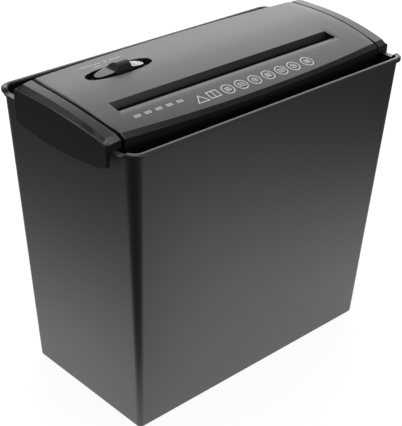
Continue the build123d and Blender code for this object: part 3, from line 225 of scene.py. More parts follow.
def shell_level(bm, z, out):
    """One level of the bin: a rounded rectangle that stands out of the tapered wall, as its edges."""
    share = z / shoulder_z
    made = bmesh.ops.create_grid(bm, x_segments=1, y_segments=1, size=1)
    half_length = base_half + (mouth_half - base_half) * share + out
    half_width = base_half_width + (mouth_half_width - base_half_width) * share + out
    corner = max(base_corner + corner_growth * share + out, 1.2)
    bmesh.ops.scale(bm, vec=(half_length, half_width, 1), verts=made["verts"])
    bmesh.ops.translate(bm, vec=(0, 0, z), verts=made["verts"])
    rounded = bmesh.ops.bevel(bm, geom=made["verts"], offset=corner, affect="VERTICES", segments=8,
                              profile=0.5, material=-1)
    face = rounded["verts"][0].link_faces[0]
    edges = list(face.edges)
    bmesh.ops.delete(bm, geom=[face], context="FACES_ONLY")
    return edges


def finish_mesh(bm, name, crease=None):
    """A smooth object in metres from a bmesh in millimetres, with its edges past the crease angle sharp."""
    bmesh.ops.remove_doubles(bm, verts=bm.verts, dist=0.0005)
    bmesh.ops.recalc_face_normals(bm, faces=bm.faces)
    for edge in bm.edges:
        if crease and edge.is_manifold and edge.calc_face_angle() > crease:
            edge.smooth = False
    bmesh.ops.scale(bm, vec=(0.001, 0.001, 0.001), verts=bm.verts)
    mesh = bpy.data.meshes.new(name)
    for face in bm.faces:
        face.smooth = True
    bm.to_mesh(mesh)
    bm.free()
    piece = bpy.data.objects.new(name, mesh)
    scene.collection.objects.link(piece)
    return piece


def cut_lines(bm, axis, places):
    """Add an edge loop across the mesh at each place along that axis."""
    for place in places:
        normal = Vector((0, 0, 0))
        normal[axis] = 1
        bmesh.ops.bisect_plane(bm, geom=bm.verts[:] + bm.edges[:] + bm.faces[:], dist=0.0001,
                               plane_co=normal * place, plane_no=normal)


def ease(value):
    """Smooth step from 0 to 1."""
    value = min(max(value, 0), 1)
    return value * value * (3 - 2 * value)


def level_normals(piece):
    """Keep flat faces looking flat beside their rounded edges."""
    piece.modifiers.new("level_normals", "WEIGHTED_NORMAL").keep_sharp = True


# levels of the shell: the rounded foot, the wall, the lip's roll, then down the inside to the floor
levels = []
shell = bmesh.new()
for step in range(5):
    angle = step * pi / 8
    levels.append(shell_level(shell, base_fillet * (1 - cos(angle)), -base_fillet * (1 - sin(angle))))
for z, out in ((60, 0), (120, 0), (180, 0), (215, 0), (rim_low - 0.05, 0), (rim_low, 0.05), (rim_low, 2.6),
               (rim_low + 0.05, lip_overhang), (shoulder_z, lip_overhang)):
    levels.append(shell_level(shell, z, out))
for degrees in range(15, 181, 15):
    angle = radians(degrees)
    out = lip_overhang - rim_half_width + rim_half_width * cos(angle)
    levels.append(shell_level(shell, shoulder_z + rim_crown * sin(angle), out))
for z, out in ((120, -wall), (6, -wall), (3.4, -wall - 0.8), (2.5, -wall - 3)):
    levels.append(shell_level(shell, z, out))
for lower, upper in zip(levels, levels[1:]):
    bmesh.ops.bridge_loops(shell, edges=lower + upper)
for end_level in (levels[0], levels[-1]):
    bmesh.ops.contextual_create(shell, geom=end_level)
cut_lines(shell, 1, [side * y for side in (-1, 1) for y in (64, notch_half, 66.4, 67.3, 68.2, 69.1, 70)])
for vert in shell.verts:
    limit = notch_z + (bin_high.z - notch_z) * ease((abs(vert.co.y) - notch_half) / notch_slope)
    if vert.co.z < rim_low + 0.1:
        limit -= ledge_thickness
    if abs(vert.co.x) > notch_reach and vert.co.z > limit:
        vert.co.z = limit
bin_shell = finish_mesh(shell, "bin_shell", crease=radians(40))
level_normals(bin_shell)
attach(bin_shell, "bin")
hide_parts("waste_bin")


def new_group(name, inputs):
    """A node group with those (socket, kind, value) inputs, giving Color, Roughness and Height."""
    group = bpy.data.node_groups.new(name, "ShaderNodeTree")
    for label, kind, value in inputs:
        group.interface.new_socket(label, in_out="INPUT", socket_type=kind).default_value = value
    outputs = {"Color": "NodeSocketColor", "Roughness": "NodeSocketFloat", "Height": "NodeSocketFloat"}
    for label, kind in outputs.items():
        group.interface.new_socket(label, in_out="OUTPUT", socket_type=kind)
    return group, group.nodes.new("NodeGroupInput"), group.nodes.new("NodeGroupOutput")


def vary_roughness(group, given, result, texture):
    """Send out the group's Roughness, raised and lowered by a texture as far as Roughness Spread says."""
    centred = add_node(group, "ShaderNodeMath", operation="SUBTRACT")
    centred.inputs[1].default_value = 0.5
    uneven = add_node(group, "ShaderNodeMath", operation="MULTIPLY_ADD")
    wire(group, (texture, "Fac", centred, 0), (centred, 0, uneven, 0),
         (given, "Roughness Spread", uneven, 1), (given, "Roughness", uneven, 2),
         (uneven, 0, result, "Roughness"))


def grouped_material(name, group_tree, values, bump_depth, bump_strength):
    """A material led by a node group, with the group's inputs set by name and its Height as bump."""
    material, tree, shader = new_material(name)
    group = add_node(tree, "ShaderNodeGroup", node_tree=group_tree)
    for label, value in values.items():
        group.inputs[label].default_value = value
    bump = add_node(tree, "ShaderNodeBump", distance=bump_depth, strength=bump_strength)
    wire(tree, (group, "Color", shader, "Base Color"), (group, "Roughness", shader, "Roughness"),
         (group, "Height", bump, "Height"), (bump, "Normal", shader, "Normal"))
    return material, shader


# moulded plastic: fine spark-eroded grain, slow flow marks, and a little dust on what faces up
moulding, given, result = new_group("moulded_plastic", [
    ("Color", "NodeSocketColor", (0.03, 0.03, 0.03, 1)),
    ("Dust Color", "NodeSocketColor", (0.2, 0.19, 0.18, 1)),
    ("Dust", "NodeSocketFloat", 0.1),
    ("Roughness", "NodeSocketFloat", 0.4),
    ("Roughness Spread", "NodeSocketFloat", 0.05),
    ("Grain Scale", "NodeSocketFloat", 1500.0)])
where = add_node(moulding, "ShaderNodeTexCoord")
flow = add_node(moulding, "ShaderNodeTexNoise", scale=22, detail=4, roughness=0.55)
specks = add_node(moulding, "ShaderNodeTexNoise", scale=260, detail=3, roughness=0.6)
grain = add_node(moulding, "ShaderNodeTexNoise", detail=2, roughness=0.5)
facing = add_node(moulding, "ShaderNodeNewGeometry")
split = add_node(moulding, "ShaderNodeSeparateXYZ")
upward = add_node(moulding, "ShaderNodeMapRange", from_min=0.2, from_max=1.0)
settled = add_node(moulding, "ShaderNodeMapRange", from_min=0.45, from_max=0.75)
dusty = add_node(moulding, "ShaderNodeMath", operation="MULTIPLY")
dust_share = add_node(moulding, "ShaderNodeMath", operation="MULTIPLY")
flow_share = add_node(moulding, "ShaderNodeMapRange", from_min=0.3, from_max=0.7, to_min=0.88, to_max=1.12)
tone = add_node(moulding, "ShaderNodeVectorMath", operation="SCALE")
mixed = add_node(moulding, "ShaderNodeMix", data_type="RGBA")
for noise in (flow, specks, grain):
    wire(moulding, (where, "Object", noise, "Vector"))
wire(moulding, (given, "Grain Scale", grain, "Scale"), (facing, "Normal", split, "Vector"),
     (split, "Z", upward, "Value"), (specks, "Fac", settled, "Value"), (upward, "Result", dusty, 0),
     (settled, "Result", dusty, 1), (dusty, 0, dust_share, 0), (given, "Dust", dust_share, 1),
     (flow, "Fac", flow_share, "Value"), (given, "Color", tone, 0), (flow_share, "Result", tone, "Scale"),
     (dust_share, 0, mixed, "Factor"), (tone, "Vector", mixed, "A"), (given, "Dust Color", mixed, "B"),
     (mixed, "Result", result, "Color"), (grain, "Fac", result, "Height"))
vary_roughness(moulding, given, result, specks)


def moulded(name, color, roughness, grain_scale=1500.0, grain_depth=0.00002, dust=0.08, specular=0.5):
    """A moulded plastic of that colour, with grain of that scale and depth in metres."""
    values = {"Color": (*color, 1), "Roughness": roughness, "Roughness Spread": 0.1,
              "Grain Scale": grain_scale, "Dust": dust}
    material, shader = grouped_material(name, moulding, values, grain_depth, 0.4)
    shader.inputs["Specular IOR Level"].default_value = specular
    return material


def paint(material, *pieces):
    """Give each piece, or CAD node by its name, this one material."""
    for piece in pieces:
        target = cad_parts[piece] if isinstance(piece, str) else piece
        target.data.materials.clear()
        target.data.materials.append(material)


paint(moulded("bin_polypropylene", (0.012, 0.012, 0.0127), 0.42, dust=0.02, specular=0.75), bin_shell)

# ---------------------------------------------------------------------------
# Top cover: the crowned panel of the head, moulded in black ABS, with the
# paper slot, the switch recess and bevelled front and back edges. The lower
# housing and the end caps are screwed to it.
# ---------------------------------------------------------------------------

head_front = -60.5
head_back = 53.4
crest = 255.5
crown_start = 19
crown_radius = 290
bow_radius = 2060
seam_half = 134.3
seam_middle = 1.95
seam_radius = 480
front_edge_middle = -57.9
front_edge_radius = 1413
cover_low = 228.0
cover_wall = 2.3
front_drop = 2.65
back_bevel_width = 7.8
back_bevel_drop = 6.6
left_gap = 1.0
right_gap = 0.15
slot_left = -113.1
slot_right = 106.4
slot_front = -30.6
slot_back = -20.2
lip_start = -36.8
lip_radius = 20.0
lip_fade = 3.6
recess_x = -73.3
recess_y = 17.8
recess_half = 29.8
recess_half_width = 8.7
recess_floor = 250.5
recess_taper_x = 0.97
recess_taper_y = 0.9
around_recess = (-108, -39.4, 5, 29.2)


def crown(y):
    """Height of the head's crown at y: level at the back, falling in an arc to the front."""
    return crest - max(0, crown_start - y) ** 2 / (2 * crown_radius)


def bow(x):
    """How far the head's front and back faces fall away from their middles at x."""
    return x * x / (2 * bow_radius)


def seam(y):
    """Half the distance between the seams beside the end caps."""
    return seam_half - (y - seam_middle) ** 2 / (2 * seam_radius)


def front_edge(x):
    """Where the crown meets the front bevel at x."""
    return front_edge_middle + x * x / (2 * front_edge_radius)


def oval(verts, half_length, half_width, fullness=0.8):
    """Turn a unit circle of vertices into a full oval."""
    for vert in verts:
        x, y = vert.co.x, vert.co.y
        vert.co.x = half_length * abs(x) ** fullness * (1 if x > 0 else -1)
        vert.co.y = half_width * abs(y) ** fullness * (1 if y > 0 else -1)


def in_box(point, box, spare=0.0):
    """True where a point lies in that (left, right, front, back) box, or within a spare distance of it."""
    left, right, front, back = box
    return left - spare < point.x < right + spare and front - spare < point.y < back + spare


# a flat grid, cut into strips along and across, with the slot and the recess taken out
panel = bmesh.new()
bmesh.ops.create_grid(panel, x_segments=1, y_segments=1, size=1)
for vert in panel.verts:
    vert.co.x *= seam(0)
    vert.co.y = head_back if vert.co.y > 0 else head_front
back_top = head_back - back_bevel_width
cut_lines(panel, 1, (front_edge(0), -55, -51, -46, -41, lip_start, -35.6, -34.4, -33.2, -31.9, slot_front,
                     slot_back, -13, -7, -1, 5, 12, 19, 29.2, 37, back_top))
cut_lines(panel, 0, [-seam(0) + step for step in (0.35, 0.8, 1.4, 2.2, 3.2)])
cut_lines(panel, 0, (-122, -118, slot_left - 0.7, slot_left, -108, -90, -73.7, -57, -39.4, -20, 0, 20, 40,
                     60, 80, 95, 104, slot_right, 108, 110, 114, 118, 122, 129))
slot_box = (slot_left, slot_right, slot_front, slot_back)
for box in (slot_box, around_recess):
    taken = [face for face in panel.faces if in_box(face.calc_center_median(), box)]
    bmesh.ops.delete(panel, geom=taken, context="FACES")
hole = [edge for edge in panel.edges
        if edge.is_boundary and in_box((edge.verts[0].co + edge.verts[1].co) / 2, around_recess, 0.4)]
rim = bmesh.ops.create_circle(panel, cap_ends=False, segments=64, radius=1)["verts"]
oval(rim, recess_half, recess_half_width)
bmesh.ops.translate(panel, vec=(recess_x, recess_y, 0), verts=rim)
rim_edges = list(dict.fromkeys(edge for vert in rim for edge in vert.link_edges))
bmesh.ops.bridge_loops(panel, edges=hole + rim_edges)

slot_loop = {vert for vert in panel.verts
             if in_box(vert.co, slot_box, 0.01) and any(edge.is_boundary for edge in vert.link_edges)}
open_edges = [edge for edge in panel.edges if edge.is_boundary]
slot_edges = [edge for edge in open_edges if edge.verts[0] in slot_loop]
outer_loop = [edge for edge in open_edges if edge.verts[0] not in slot_loop and edge not in rim_edges]

# the grid bent to the head's shape: crown, bevels, the slot's dipped front lip and the rounded end seams
bend_start = 118
for vert in panel.verts:
    x, y = vert.co.x, vert.co.y
    past_end = x - slot_right if x > 0 else (slot_left - x) * 5
    dip = 0
    if lip_start < y < slot_front + 0.01:
        dip = lip_radius - sqrt(lip_radius**2 - (y - lip_start) ** 2)
    dip *= 1 - min(max(past_end, 0) / lip_fade, 1)
    reach = seam(0) - abs(x)
    if reach < seam(0) - bend_start:
        at_edge = seam(y) - (left_gap if x < 0 else right_gap)
        share = (seam(0) - reach - bend_start) * (at_edge - bend_start) / (seam(0) - bend_start)
        x = (bend_start + share) * (1 if x > 0 else -1)
    edge_width = 1.1 + 2.1 * ease((y + 40) / 75) if x < 0 else 0.7
    turn = max(0, 1 - reach / edge_width)
    dip += 0.45 * edge_width * (1 - sqrt(1 - turn * turn))
    if y < front_edge(0) - 0.01:
        vert.co = (x, head_front + bow(x), crown(front_edge(x)) - front_drop - dip * 0.5)
    elif y > back_top + 0.01:
        vert.co = (x, y - bow(x), crest - back_bevel_drop)
    else:
        y += (front_edge(x) - front_edge(0)) * ease((-41 - y) / 14) - bow(x) * ease((y - 29.2) / 14)
        vert.co = (x, y, crown(y) - dip)


def draw_down(bm, edges, move):
    """Extrude a loop of edges, place each new vertex by move(point), and give the new loop."""
    made = bmesh.ops.extrude_edge_only(bm, edges=edges)["geom"]
    for vert in (item for item in made if isinstance(item, bmesh.types.BMVert)):
        vert.co = move(vert.co)
    return [item for item in made if isinstance(item, bmesh.types.BMEdge)
            and abs(item.verts[0].co.z - item.verts[1].co.z) < 30 and len(item.link_faces) == 1]


def slot_wall(point, front_in, back_in, drop):
    """A point of the slot's wall, that far in from the slot's front and back edges and below the crown."""
    if point.y < (slot_front + slot_back) / 2:
        return Vector((point.x, slot_front + front_in, crown(slot_front) - drop))
    return Vector((point.x, slot_back - back_in, crown(slot_back) - drop))


for level in ((0.3, 0.25, 0.6), (0.5, 1.5, 3.0), (0.7, 2.6, 5.2), (1.2, 3.4, 12.0)):
    slot_edges = draw_down(panel, slot_edges, lambda point, level=level: slot_wall(point, *level))
draw_down(panel, outer_loop, lambda point: Vector((point.x, point.y, cover_low)))
floor_edges = draw_down(panel, rim_edges, lambda point: Vector((
    recess_x + (point.x - recess_x) * recess_taper_x, recess_y + (point.y - recess_y) * recess_taper_y,
    recess_floor)))
bmesh.ops.contextual_create(panel, geom=floor_edges)


def round_edges(piece, least_angle):
    """Round a piece's edges that turn by at least that angle, to 0.3 mm."""
    rounding = piece.modifiers.new("rounded_edges", "BEVEL")
    rounding.width = 0.0003
    rounding.segments = 2
    rounding.limit_method = "ANGLE"
    rounding.angle_limit = radians(least_angle)
    rounding.harden_normals = True
    return rounding


top_panel = finish_mesh(panel, "top_panel")
thick = top_panel.modifiers.new("wall", "SOLIDIFY")
thick.thickness = cover_wall / 1000
thick.offset = -1
round_edges(top_panel, 11).use_clamp_overlap = False
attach(top_panel, "head")
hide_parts("top_cover")
head_abs = moulded("head_abs", (0.014, 0.014, 0.0155), 0.36, dust=0.03)
paint(head_abs, top_panel)

# ---------------------------------------------------------------------------
# End caps: ABS mouldings that close the head's ends and hang over the bin's
# end walls as an arched apron. Each is screwed to the cover from inside.
# ---------------------------------------------------------------------------

end_x = 143.99
apron_inner = 141.2
cap_low = 238.3
cap_front = -55.5
cap_back = 49.2
cap_edge_y = -51.1
corner_turn = -54.9
corner_depth = 0.5
hip_start = 40.4
hip_z = 248.6
brow_z = 249.35
brow_radius = 487.5
apron_arch = 219.8
apron_radius = 250.0
heel_radius = 3.6
toe_radius = 3.2
heel_turn = 1.0
left_fall = 1.12
right_fall = 0.2
strip_half = 142.05


def strip_edge(y):
    """Where the cap's top strip ends and its side bevel starts."""
    reach = (y + 5) / 40
    return strip_half - reach * reach * (1.05 if y < -5 else 0.55)


def arc_drop(distance, radius):
    """How far a quarter round has turned in after that distance along it, from 0 to its radius."""
    return radius - sqrt(max(radius**2 - max(distance, 0) ** 2, 0))


def cap_section(y, gap, fall):
    """The cap's section at y as (x, z), from the seam over the top and round the apron."""
    face = end_x - arc_drop(y - cap_back + heel_turn, heel_turn)
    if y < corner_turn:
        face -= corner_depth * arc_drop((corner_turn - y) / (corner_turn - cap_front), 1)
    top = crown(min(y, hip_start))
    brow = brow_z - max(0, 20 - y) ** 2 / (2 * brow_radius)
    edge = strip_edge(y) + (left_fall - fall) * 1.25
    if y < cap_edge_y:
        top = crown(cap_edge_y) - front_drop * (cap_edge_y - y) / (cap_edge_y - cap_front)
        brow = min(brow, top - 0.6)
    if y > hip_start:
        hip = (y - hip_start) / (cap_back - hip_start)
        top -= (crest - hip_z) * hip
        edge += (end_x - 1.6 - edge) * hip
        fall *= 1 - 0.6 * hip
        brow = min(brow, top - fall - 0.5)
    edge = min(edge, face - 0.5)
    low = apron_arch + arc_drop(abs(y + 3.5), apron_radius)
    low += arc_drop(y - cap_back + heel_radius, heel_radius)
    low += arc_drop(cap_front + toe_radius - y, toe_radius)
    low = min(low, brow - 2)
    bead = 0.15 + 0.5 * ease((12 - y) / 35)
    inner = seam(y) + gap
    return [(inner, cap_low), (inner, top - 0.45), (inner + 0.13, top - 0.13), (inner + 0.45, top),
            (edge - 0.12, top - fall), (edge + 0.06, top - fall - 0.14), (face - bead - 0.1, brow + 0.02),
            (face - bead, brow + 0.05), (face, brow + 0.05 - bead), (face, low + 0.3), (face - 0.3, low),
            (apron_inner, low), (apron_inner, max(cap_low, low + 1))]


cap_rows = [cap_front, -55.48, -55.4, -55.2, corner_turn, -54.3, -53.4, -52.2, cap_edge_y - 0.2, cap_edge_y,
            -50.8, -49.5, -46, -41, *range(-35, 29, 7), 34, hip_start - 0.3, hip_start, hip_start + 0.4,
            43, 45, 46.4, 47.4, 48.2, 48.6, 48.9, 49.1, cap_back]
caps = ((-1, left_gap, left_fall, "left_cap"), (1, right_gap, right_fall, "right_cap"))
for side, gap, fall, name in caps:
    cap = bmesh.new()
    bmesh.ops.create_circle(cap, cap_ends=True, segments=13, radius=1)
    face = next(iter(cap.faces))
    corners = list(face.verts)
    for row, y in enumerate(cap_rows):
        if row:
            last = face
            made = bmesh.ops.extrude_face_region(cap, geom=[last])["geom"]
            face = next(item for item in made if isinstance(item, bmesh.types.BMFace))
            if row > 1:
                bmesh.ops.delete(cap, geom=[last], context="FACES_ONLY")
            corners = [next(vert for vert in face.verts
                            if any(edge.other_vert(vert) is corner for edge in vert.link_edges))
                       for corner in corners]
        down = min(max((cap_edge_y - y) / (cap_edge_y - cap_front), 0), 1)
        for vert, (x, z) in zip(corners, cap_section(y, gap, fall)):
            at_edge = front_edge(x) - cap_edge_y
            at_face = head_front + bow(x) - cap_front
            lean = (at_edge + (at_face - at_edge) * down) * ease((-44 - y) / 6.5)
            vert.co = (side * x, y + lean, z)
    shape = finish_mesh(cap, name, crease=radians(32))
    level_normals(shape)
    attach(shape, "head")
    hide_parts(name.replace("_cap", "_end_cap"))
    paint(head_abs, shape)

# ---------------------------------------------------------------------------
# Mode slider: a black ABS plate in the recess, with a ramp and a thin ridge
# on each side of a half-round grip. It clips on the switch under the cover.
# ---------------------------------------------------------------------------

knob_x = -73.2
knob_y = 17.7
grip_x = -0.05
plate_z = 250.8
plate_half = 22.0
plate_half_width = 6.1
tip_z = 255.0
ridge_z = 257.2
ridge_reach = 7.8
ridge_radius = 0.42
ridge_half = 5.7
ridge_foot = 2.6
grip_radius = 6.2
grip_length = 14.9
grip_top = 260.98
grip_cut_x = -7.3
knob = bmesh.new()
plate = bmesh.ops.create_circle(knob, cap_ends=True, segments=64, radius=1)["verts"]
oval(plate, plate_half, plate_half_width)
raised = bmesh.ops.extrude_face_region(knob, geom=knob.faces[:])["geom"]
raised_verts = [item for item in raised if isinstance(item, bmesh.types.BMVert)]
bmesh.ops.translate(knob, vec=(0, 0, 1), verts=raised_verts)
cut_lines(knob, 0, (-ridge_reach, ridge_reach))
for vert in knob.verts:
    if vert.co.z > 0.5:
        rise = min(1, (plate_half - abs(vert.co.x)) / (plate_half - ridge_reach))
        vert.co.z = tip_z - plate_z + (ridge_z - tip_z) * rise


def rod(radius, length, place, turn=Matrix(), segments=12):
    """A round rod of the knob, upright unless turned, with its middle at place; gives its vertices."""
    verts = bmesh.ops.create_cone(knob, cap_ends=True, segments=segments, radius1=radius, radius2=radius,
                                  depth=length, matrix=turn)["verts"]
    bmesh.ops.translate(knob, vec=place, verts=verts)
    return verts


along_y = Matrix.Rotation(pi / 2, 4, "X")
along_x = Matrix.Rotation(pi / 2, 4, "Y")
for side in (-1, 1):
    rod(ridge_radius, 2 * ridge_half, (side * ridge_reach, 0, ridge_z - plate_z), along_y)
    for end in (-1, 1):
        foot_place = (side * ridge_reach, end * ridge_half, ridge_z - plate_z - ridge_foot / 2)
        rod(ridge_radius, ridge_foot, foot_place)
grip_place = (grip_x, 0, grip_top - grip_radius - plate_z)
grip = rod(grip_radius, grip_length, grip_place, along_x, 56)
grip_cuts = (((0, 0, 0), (0, 0, -1)), ((grip_cut_x, 0, ridge_z - plate_z - 0.3), (-0.72, 0, 0.69)))
for place, normal in grip_cuts:
    loose = list(dict.fromkeys(item for vert in grip if vert.is_valid
                               for item in (vert, *vert.link_edges, *vert.link_faces)))
    made = bmesh.ops.bisect_plane(knob, geom=loose, dist=0.0001, plane_co=place, plane_no=normal,
                                  clear_outer=True)
    cut = [item for item in made["geom_cut"] if isinstance(item, bmesh.types.BMEdge)]
    bmesh.ops.contextual_create(knob, geom=cut)
    grip = [item for item in made["geom"] if isinstance(item, bmesh.types.BMVert)]
    grip += [vert for edge in cut for vert in edge.verts]
bmesh.ops.translate(knob, vec=(knob_x, knob_y, plate_z), verts=knob.verts)
mode_knob = finish_mesh(knob, "mode_knob")
round_edges(mode_knob, 35)
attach(mode_knob, "slider")
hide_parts("mode_slider")
paint(moulded("knob_abs", (0.016, 0.016, 0.017), 0.26, dust=0.02), mode_knob)
mode_knob.data.materials.append(moulded("grip_texture", (0.012, 0.012, 0.0125), 0.55, grain_scale=900.0,
                                        grain_depth=0.00004, dust=0.0, specular=0.28))
for polygon in mode_knob.data.polygons:
    middle = polygon.center * 1000
    if abs(middle.x - knob_x) < ridge_reach - 0.5 and middle.z > ridge_z - 0.6:
        polygon.material_index = 1

# ---------------------------------------------------------------------------
# Printed marks: white pad-printed ink on the cover, plain and generic. Arrows
# and a nought stand by the slider; sheets and plain rings stand by the slot.
# ---------------------------------------------------------------------------

line = 0.65
icon_y = -46.6
ring = 5.4
capacity_y = -42.2
capacity_step = 9.6
arrow_y = 35.2
ink_height = 0.03
ink_clearance = 0.012
ink = bmesh.new()


def outline(segments, size, place, turn=0.0, thick=line):
    """A closed outline of that many sides, size (x, y) from middle to side, or filled where thick is 0."""
    made = bmesh.ops.create_circle(ink, cap_ends=True, segments=segments, radius=1,
                                   matrix=Matrix.Rotation(turn, 4, "Z"))["verts"]
    face = made[0].link_faces[0]
    reach = max(abs(vert.co.x) for vert in made), max(abs(vert.co.y) for vert in made)
    bmesh.ops.scale(ink, vec=(size[0] / reach[0], size[1] / reach[1], 1), verts=made)
    bmesh.ops.translate(ink, vec=(*place, 0), verts=made)
    if thick:
        bmesh.ops.inset_region(ink, faces=[face], thickness=thick, use_even_offset=True, use_boundary=True)
        bmesh.ops.delete(ink, geom=[face], context="FACES_ONLY")


def sheet_outline(half_length, half_width, place, thick=line):
    """A four-sided outline, or a filled bar where thick is 0."""
    outline(4, (half_length, half_width), place, turn=pi / 4, thick=thick)


outline(3, (5.6, 5.6), (-52.0, icon_y - 1.6))
sheet_outline(4.9, 3.9, (-39.7, icon_y))
sheet_outline(0.3, 3.4, (-39.7, icon_y), thick=0)
for x in (-25.5, -12.1, 1.6, 15.6, 29.5, 42.7, 57.6):
    outline(40, (ring, ring), (x, icon_y))
for x in (-25.5, 15.6, 57.6):
    for row in (-1.6, 0, 1.6):
        sheet_outline(2.6, 0.3, (x, icon_y + row), thick=0)
for x in (-12.1, 29.5):
    sheet_outline(2.7, 2.0, (x, icon_y), thick=0.5)
    sheet_outline(1.4, 0.25, (x, icon_y), thick=0)
for x in (1.6, 42.7):
    outline(24, (2.4, 2.4), (x, icon_y), thick=0.5)
    outline(12, (0.7, 0.7), (x, icon_y), thick=0)
for step in range(5):
    place = (-106.2 + step * capacity_step, capacity_y)
    sheet_outline(2.6, 1.25, place, thick=0.45)
    sheet_outline(1.5, 0.2, place, thick=0)
for x, side, reach in ((-87.9, 1, 8.2), (-61.8, -1, 3.7)):
    sheet_outline(reach, 0.3, (x, arrow_y), thick=0)
    outline(3, (1.0, 1.2), (x + side * (reach + 1.4), arrow_y), turn=-side * pi / 2, thick=0)
outline(24, (1.0, 1.25), (-72.3, arrow_y), thick=0.45)
sheet_outline(3.4, 0.28, (-83.3, 30.6), thick=0)
cut_lines(ink, 1, [icon_y + step * 1.8 for step in (-2, -1, 0, 1, 2)])
lifted = bmesh.ops.extrude_face_region(ink, geom=ink.faces[:])["geom"]
top_verts = [item for item in lifted if isinstance(item, bmesh.types.BMVert)]
bmesh.ops.translate(ink, vec=(0, 0, ink_height), verts=top_verts)
for vert in ink.verts:
    vert.co.z += crown(vert.co.y) + ink_clearance
printed_marks = finish_mesh(ink, "printed_marks", crease=radians(40))
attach(printed_marks, "head")
paint(moulded("print_white", (0.8, 0.8, 0.8), 0.5, grain_scale=2500.0, dust=0.02), printed_marks)

# ---------------------------------------------------------------------------
# Lower housing: a black ABS tub that hangs in the bin's mouth and carries
# the cutting works. Zinc-plated self-tapping screws hold it to the cover, and
# the end caps too.
# ---------------------------------------------------------------------------

paint(moulded("housing_abs", (0.03, 0.03, 0.032), 0.46, grain_scale=1200.0, dust=0.12), "lower_housing")

# worked metal: fine marks drawn out along one way, cloudy plating and a little tarnish or oil
working, given, result = new_group("worked_metal", [
    ("Color", "NodeSocketColor", (0.6, 0.6, 0.62, 1)),
    ("Tarnish Color", "NodeSocketColor", (0.2, 0.17, 0.13, 1)),
    ("Tarnish", "NodeSocketFloat", 0.2),
    ("Roughness", "NodeSocketFloat", 0.35),
    ("Roughness Spread", "NodeSocketFloat", 0.15),
    ("Stretch", "NodeSocketVector", (1, 1, 1))])
where = add_node(working, "ShaderNodeTexCoord")
drawn = add_node(working, "ShaderNodeMapping")
marks = add_node(working, "ShaderNodeTexNoise", scale=1500, detail=3, roughness=0.6)
clouds = add_node(working, "ShaderNodeTexNoise", scale=70, detail=4, roughness=0.6)
stained = add_node(working, "ShaderNodeMapRange", from_min=0.42, from_max=0.72)
share = add_node(working, "ShaderNodeMath", operation="MULTIPLY")
mixed = add_node(working, "ShaderNodeMix", data_type="RGBA")
wire(working, (where, "Object", drawn, "Vector"), (given, "Stretch", drawn, "Scale"),
     (drawn, "Vector", marks, "Vector"), (where, "Object", clouds, "Vector"),
     (clouds, "Fac", stained, "Value"), (stained, "Result", share, 0), (given, "Tarnish", share, 1),
     (share, 0, mixed, "Factor"), (given, "Color", mixed, "A"), (given, "Tarnish Color", mixed, "B"),
     (mixed, "Result", result, "Color"), (marks, "Fac", result, "Height"))
vary_roughness(working, given, result, marks)


def metal(name, color, roughness, stretch=(1, 1, 1), depth=0.00001, tarnish=0.2, stain=(0.2, 0.17, 0.13)):
    """A worked metal whose marks run along the axis with the smallest stretch."""
    values = {"Color": (*color, 1), "Tarnish Color": (*stain, 1), "Tarnish": tarnish,
              "Roughness": roughness, "Stretch": stretch}
    material, shader = grouped_material(name, working, values, depth, 0.5)
    shader.inputs["Metallic"].default_value = 1.0
    return material


screw_steel = metal("screw_steel", (0.56, 0.56, 0.54), 0.34, depth=0.000008, tarnish=0.3,
                    stain=(0.42, 0.38, 0.24))
paint(screw_steel, "housing_screws", "cap_screws")

# ---------------------------------------------------------------------------
# Paper chute: the black ABS funnel under the slot. A white acetal lever on a
# ground steel pin hangs in it, and tips a microswitch when paper comes.
# ---------------------------------------------------------------------------

paint(moulded("chute_abs", (0.026, 0.026, 0.028), 0.34, grain_scale=1800.0, dust=0.1), "paper_chute")
paint(moulded("acetal", (0.74, 0.73, 0.68), 0.33, grain_scale=700.0, grain_depth=0.000008, dust=0.05),
      "sensor_lever")
paint(metal("pin_steel", (0.6, 0.6, 0.62), 0.2, stretch=(0.04, 1, 1), depth=0.000004, tarnish=0.1),
      "sensor_pin")
switch_pbt = moulded("switch_pbt", (0.018, 0.018, 0.019), 0.4, grain_scale=900.0, dust=0.04)
paint(switch_pbt, "sensor_switch")

# ---------------------------------------------------------------------------
# Frame: two stamped plates of zinc-plated sheet steel, held apart by drawn
# steel tie rods. Oil-filled sintered bronze bushes carry the cutter shafts.
# ---------------------------------------------------------------------------

paint(metal("plated_steel", (0.55, 0.56, 0.57), 0.36, stretch=(1, 0.08, 1), tarnish=0.25,
            stain=(0.36, 0.37, 0.4)), "left_frame_plate", "right_frame_plate")
paint(metal("rod_steel", (0.58, 0.58, 0.6), 0.27, stretch=(0.05, 1, 1), depth=0.000006, tarnish=0.15),
      "tie_rods")
paint(metal("sintered_bronze", (0.5, 0.33, 0.17), 0.48, depth=0.00003, tarnish=0.6,
            stain=(0.22, 0.13, 0.06)), "cutter_bushes")

# ---------------------------------------------------------------------------
# Cutters: two shafts of hardened, oiled steel discs and spacers, turned and
# ground round. Phosphated spring clips keep them in their bushes.
# ---------------------------------------------------------------------------

paint(metal("cutter_steel", (0.33, 0.33, 0.34), 0.28, stretch=(3, 0.6, 0.6), tarnish=0.55,
            stain=(0.1, 0.085, 0.06)), "front_cutter", "rear_cutter")
paint(metal("spring_steel", (0.16, 0.16, 0.17), 0.42, tarnish=0.4, stain=(0.05, 0.05, 0.055)),
      "front_shaft_clip", "rear_shaft_clips")

# ---------------------------------------------------------------------------
# Gears: natural white acetal wheels on ground steel axles, greased, behind a
# dark nylon cover that is screwed to the frame plate.
# ---------------------------------------------------------------------------

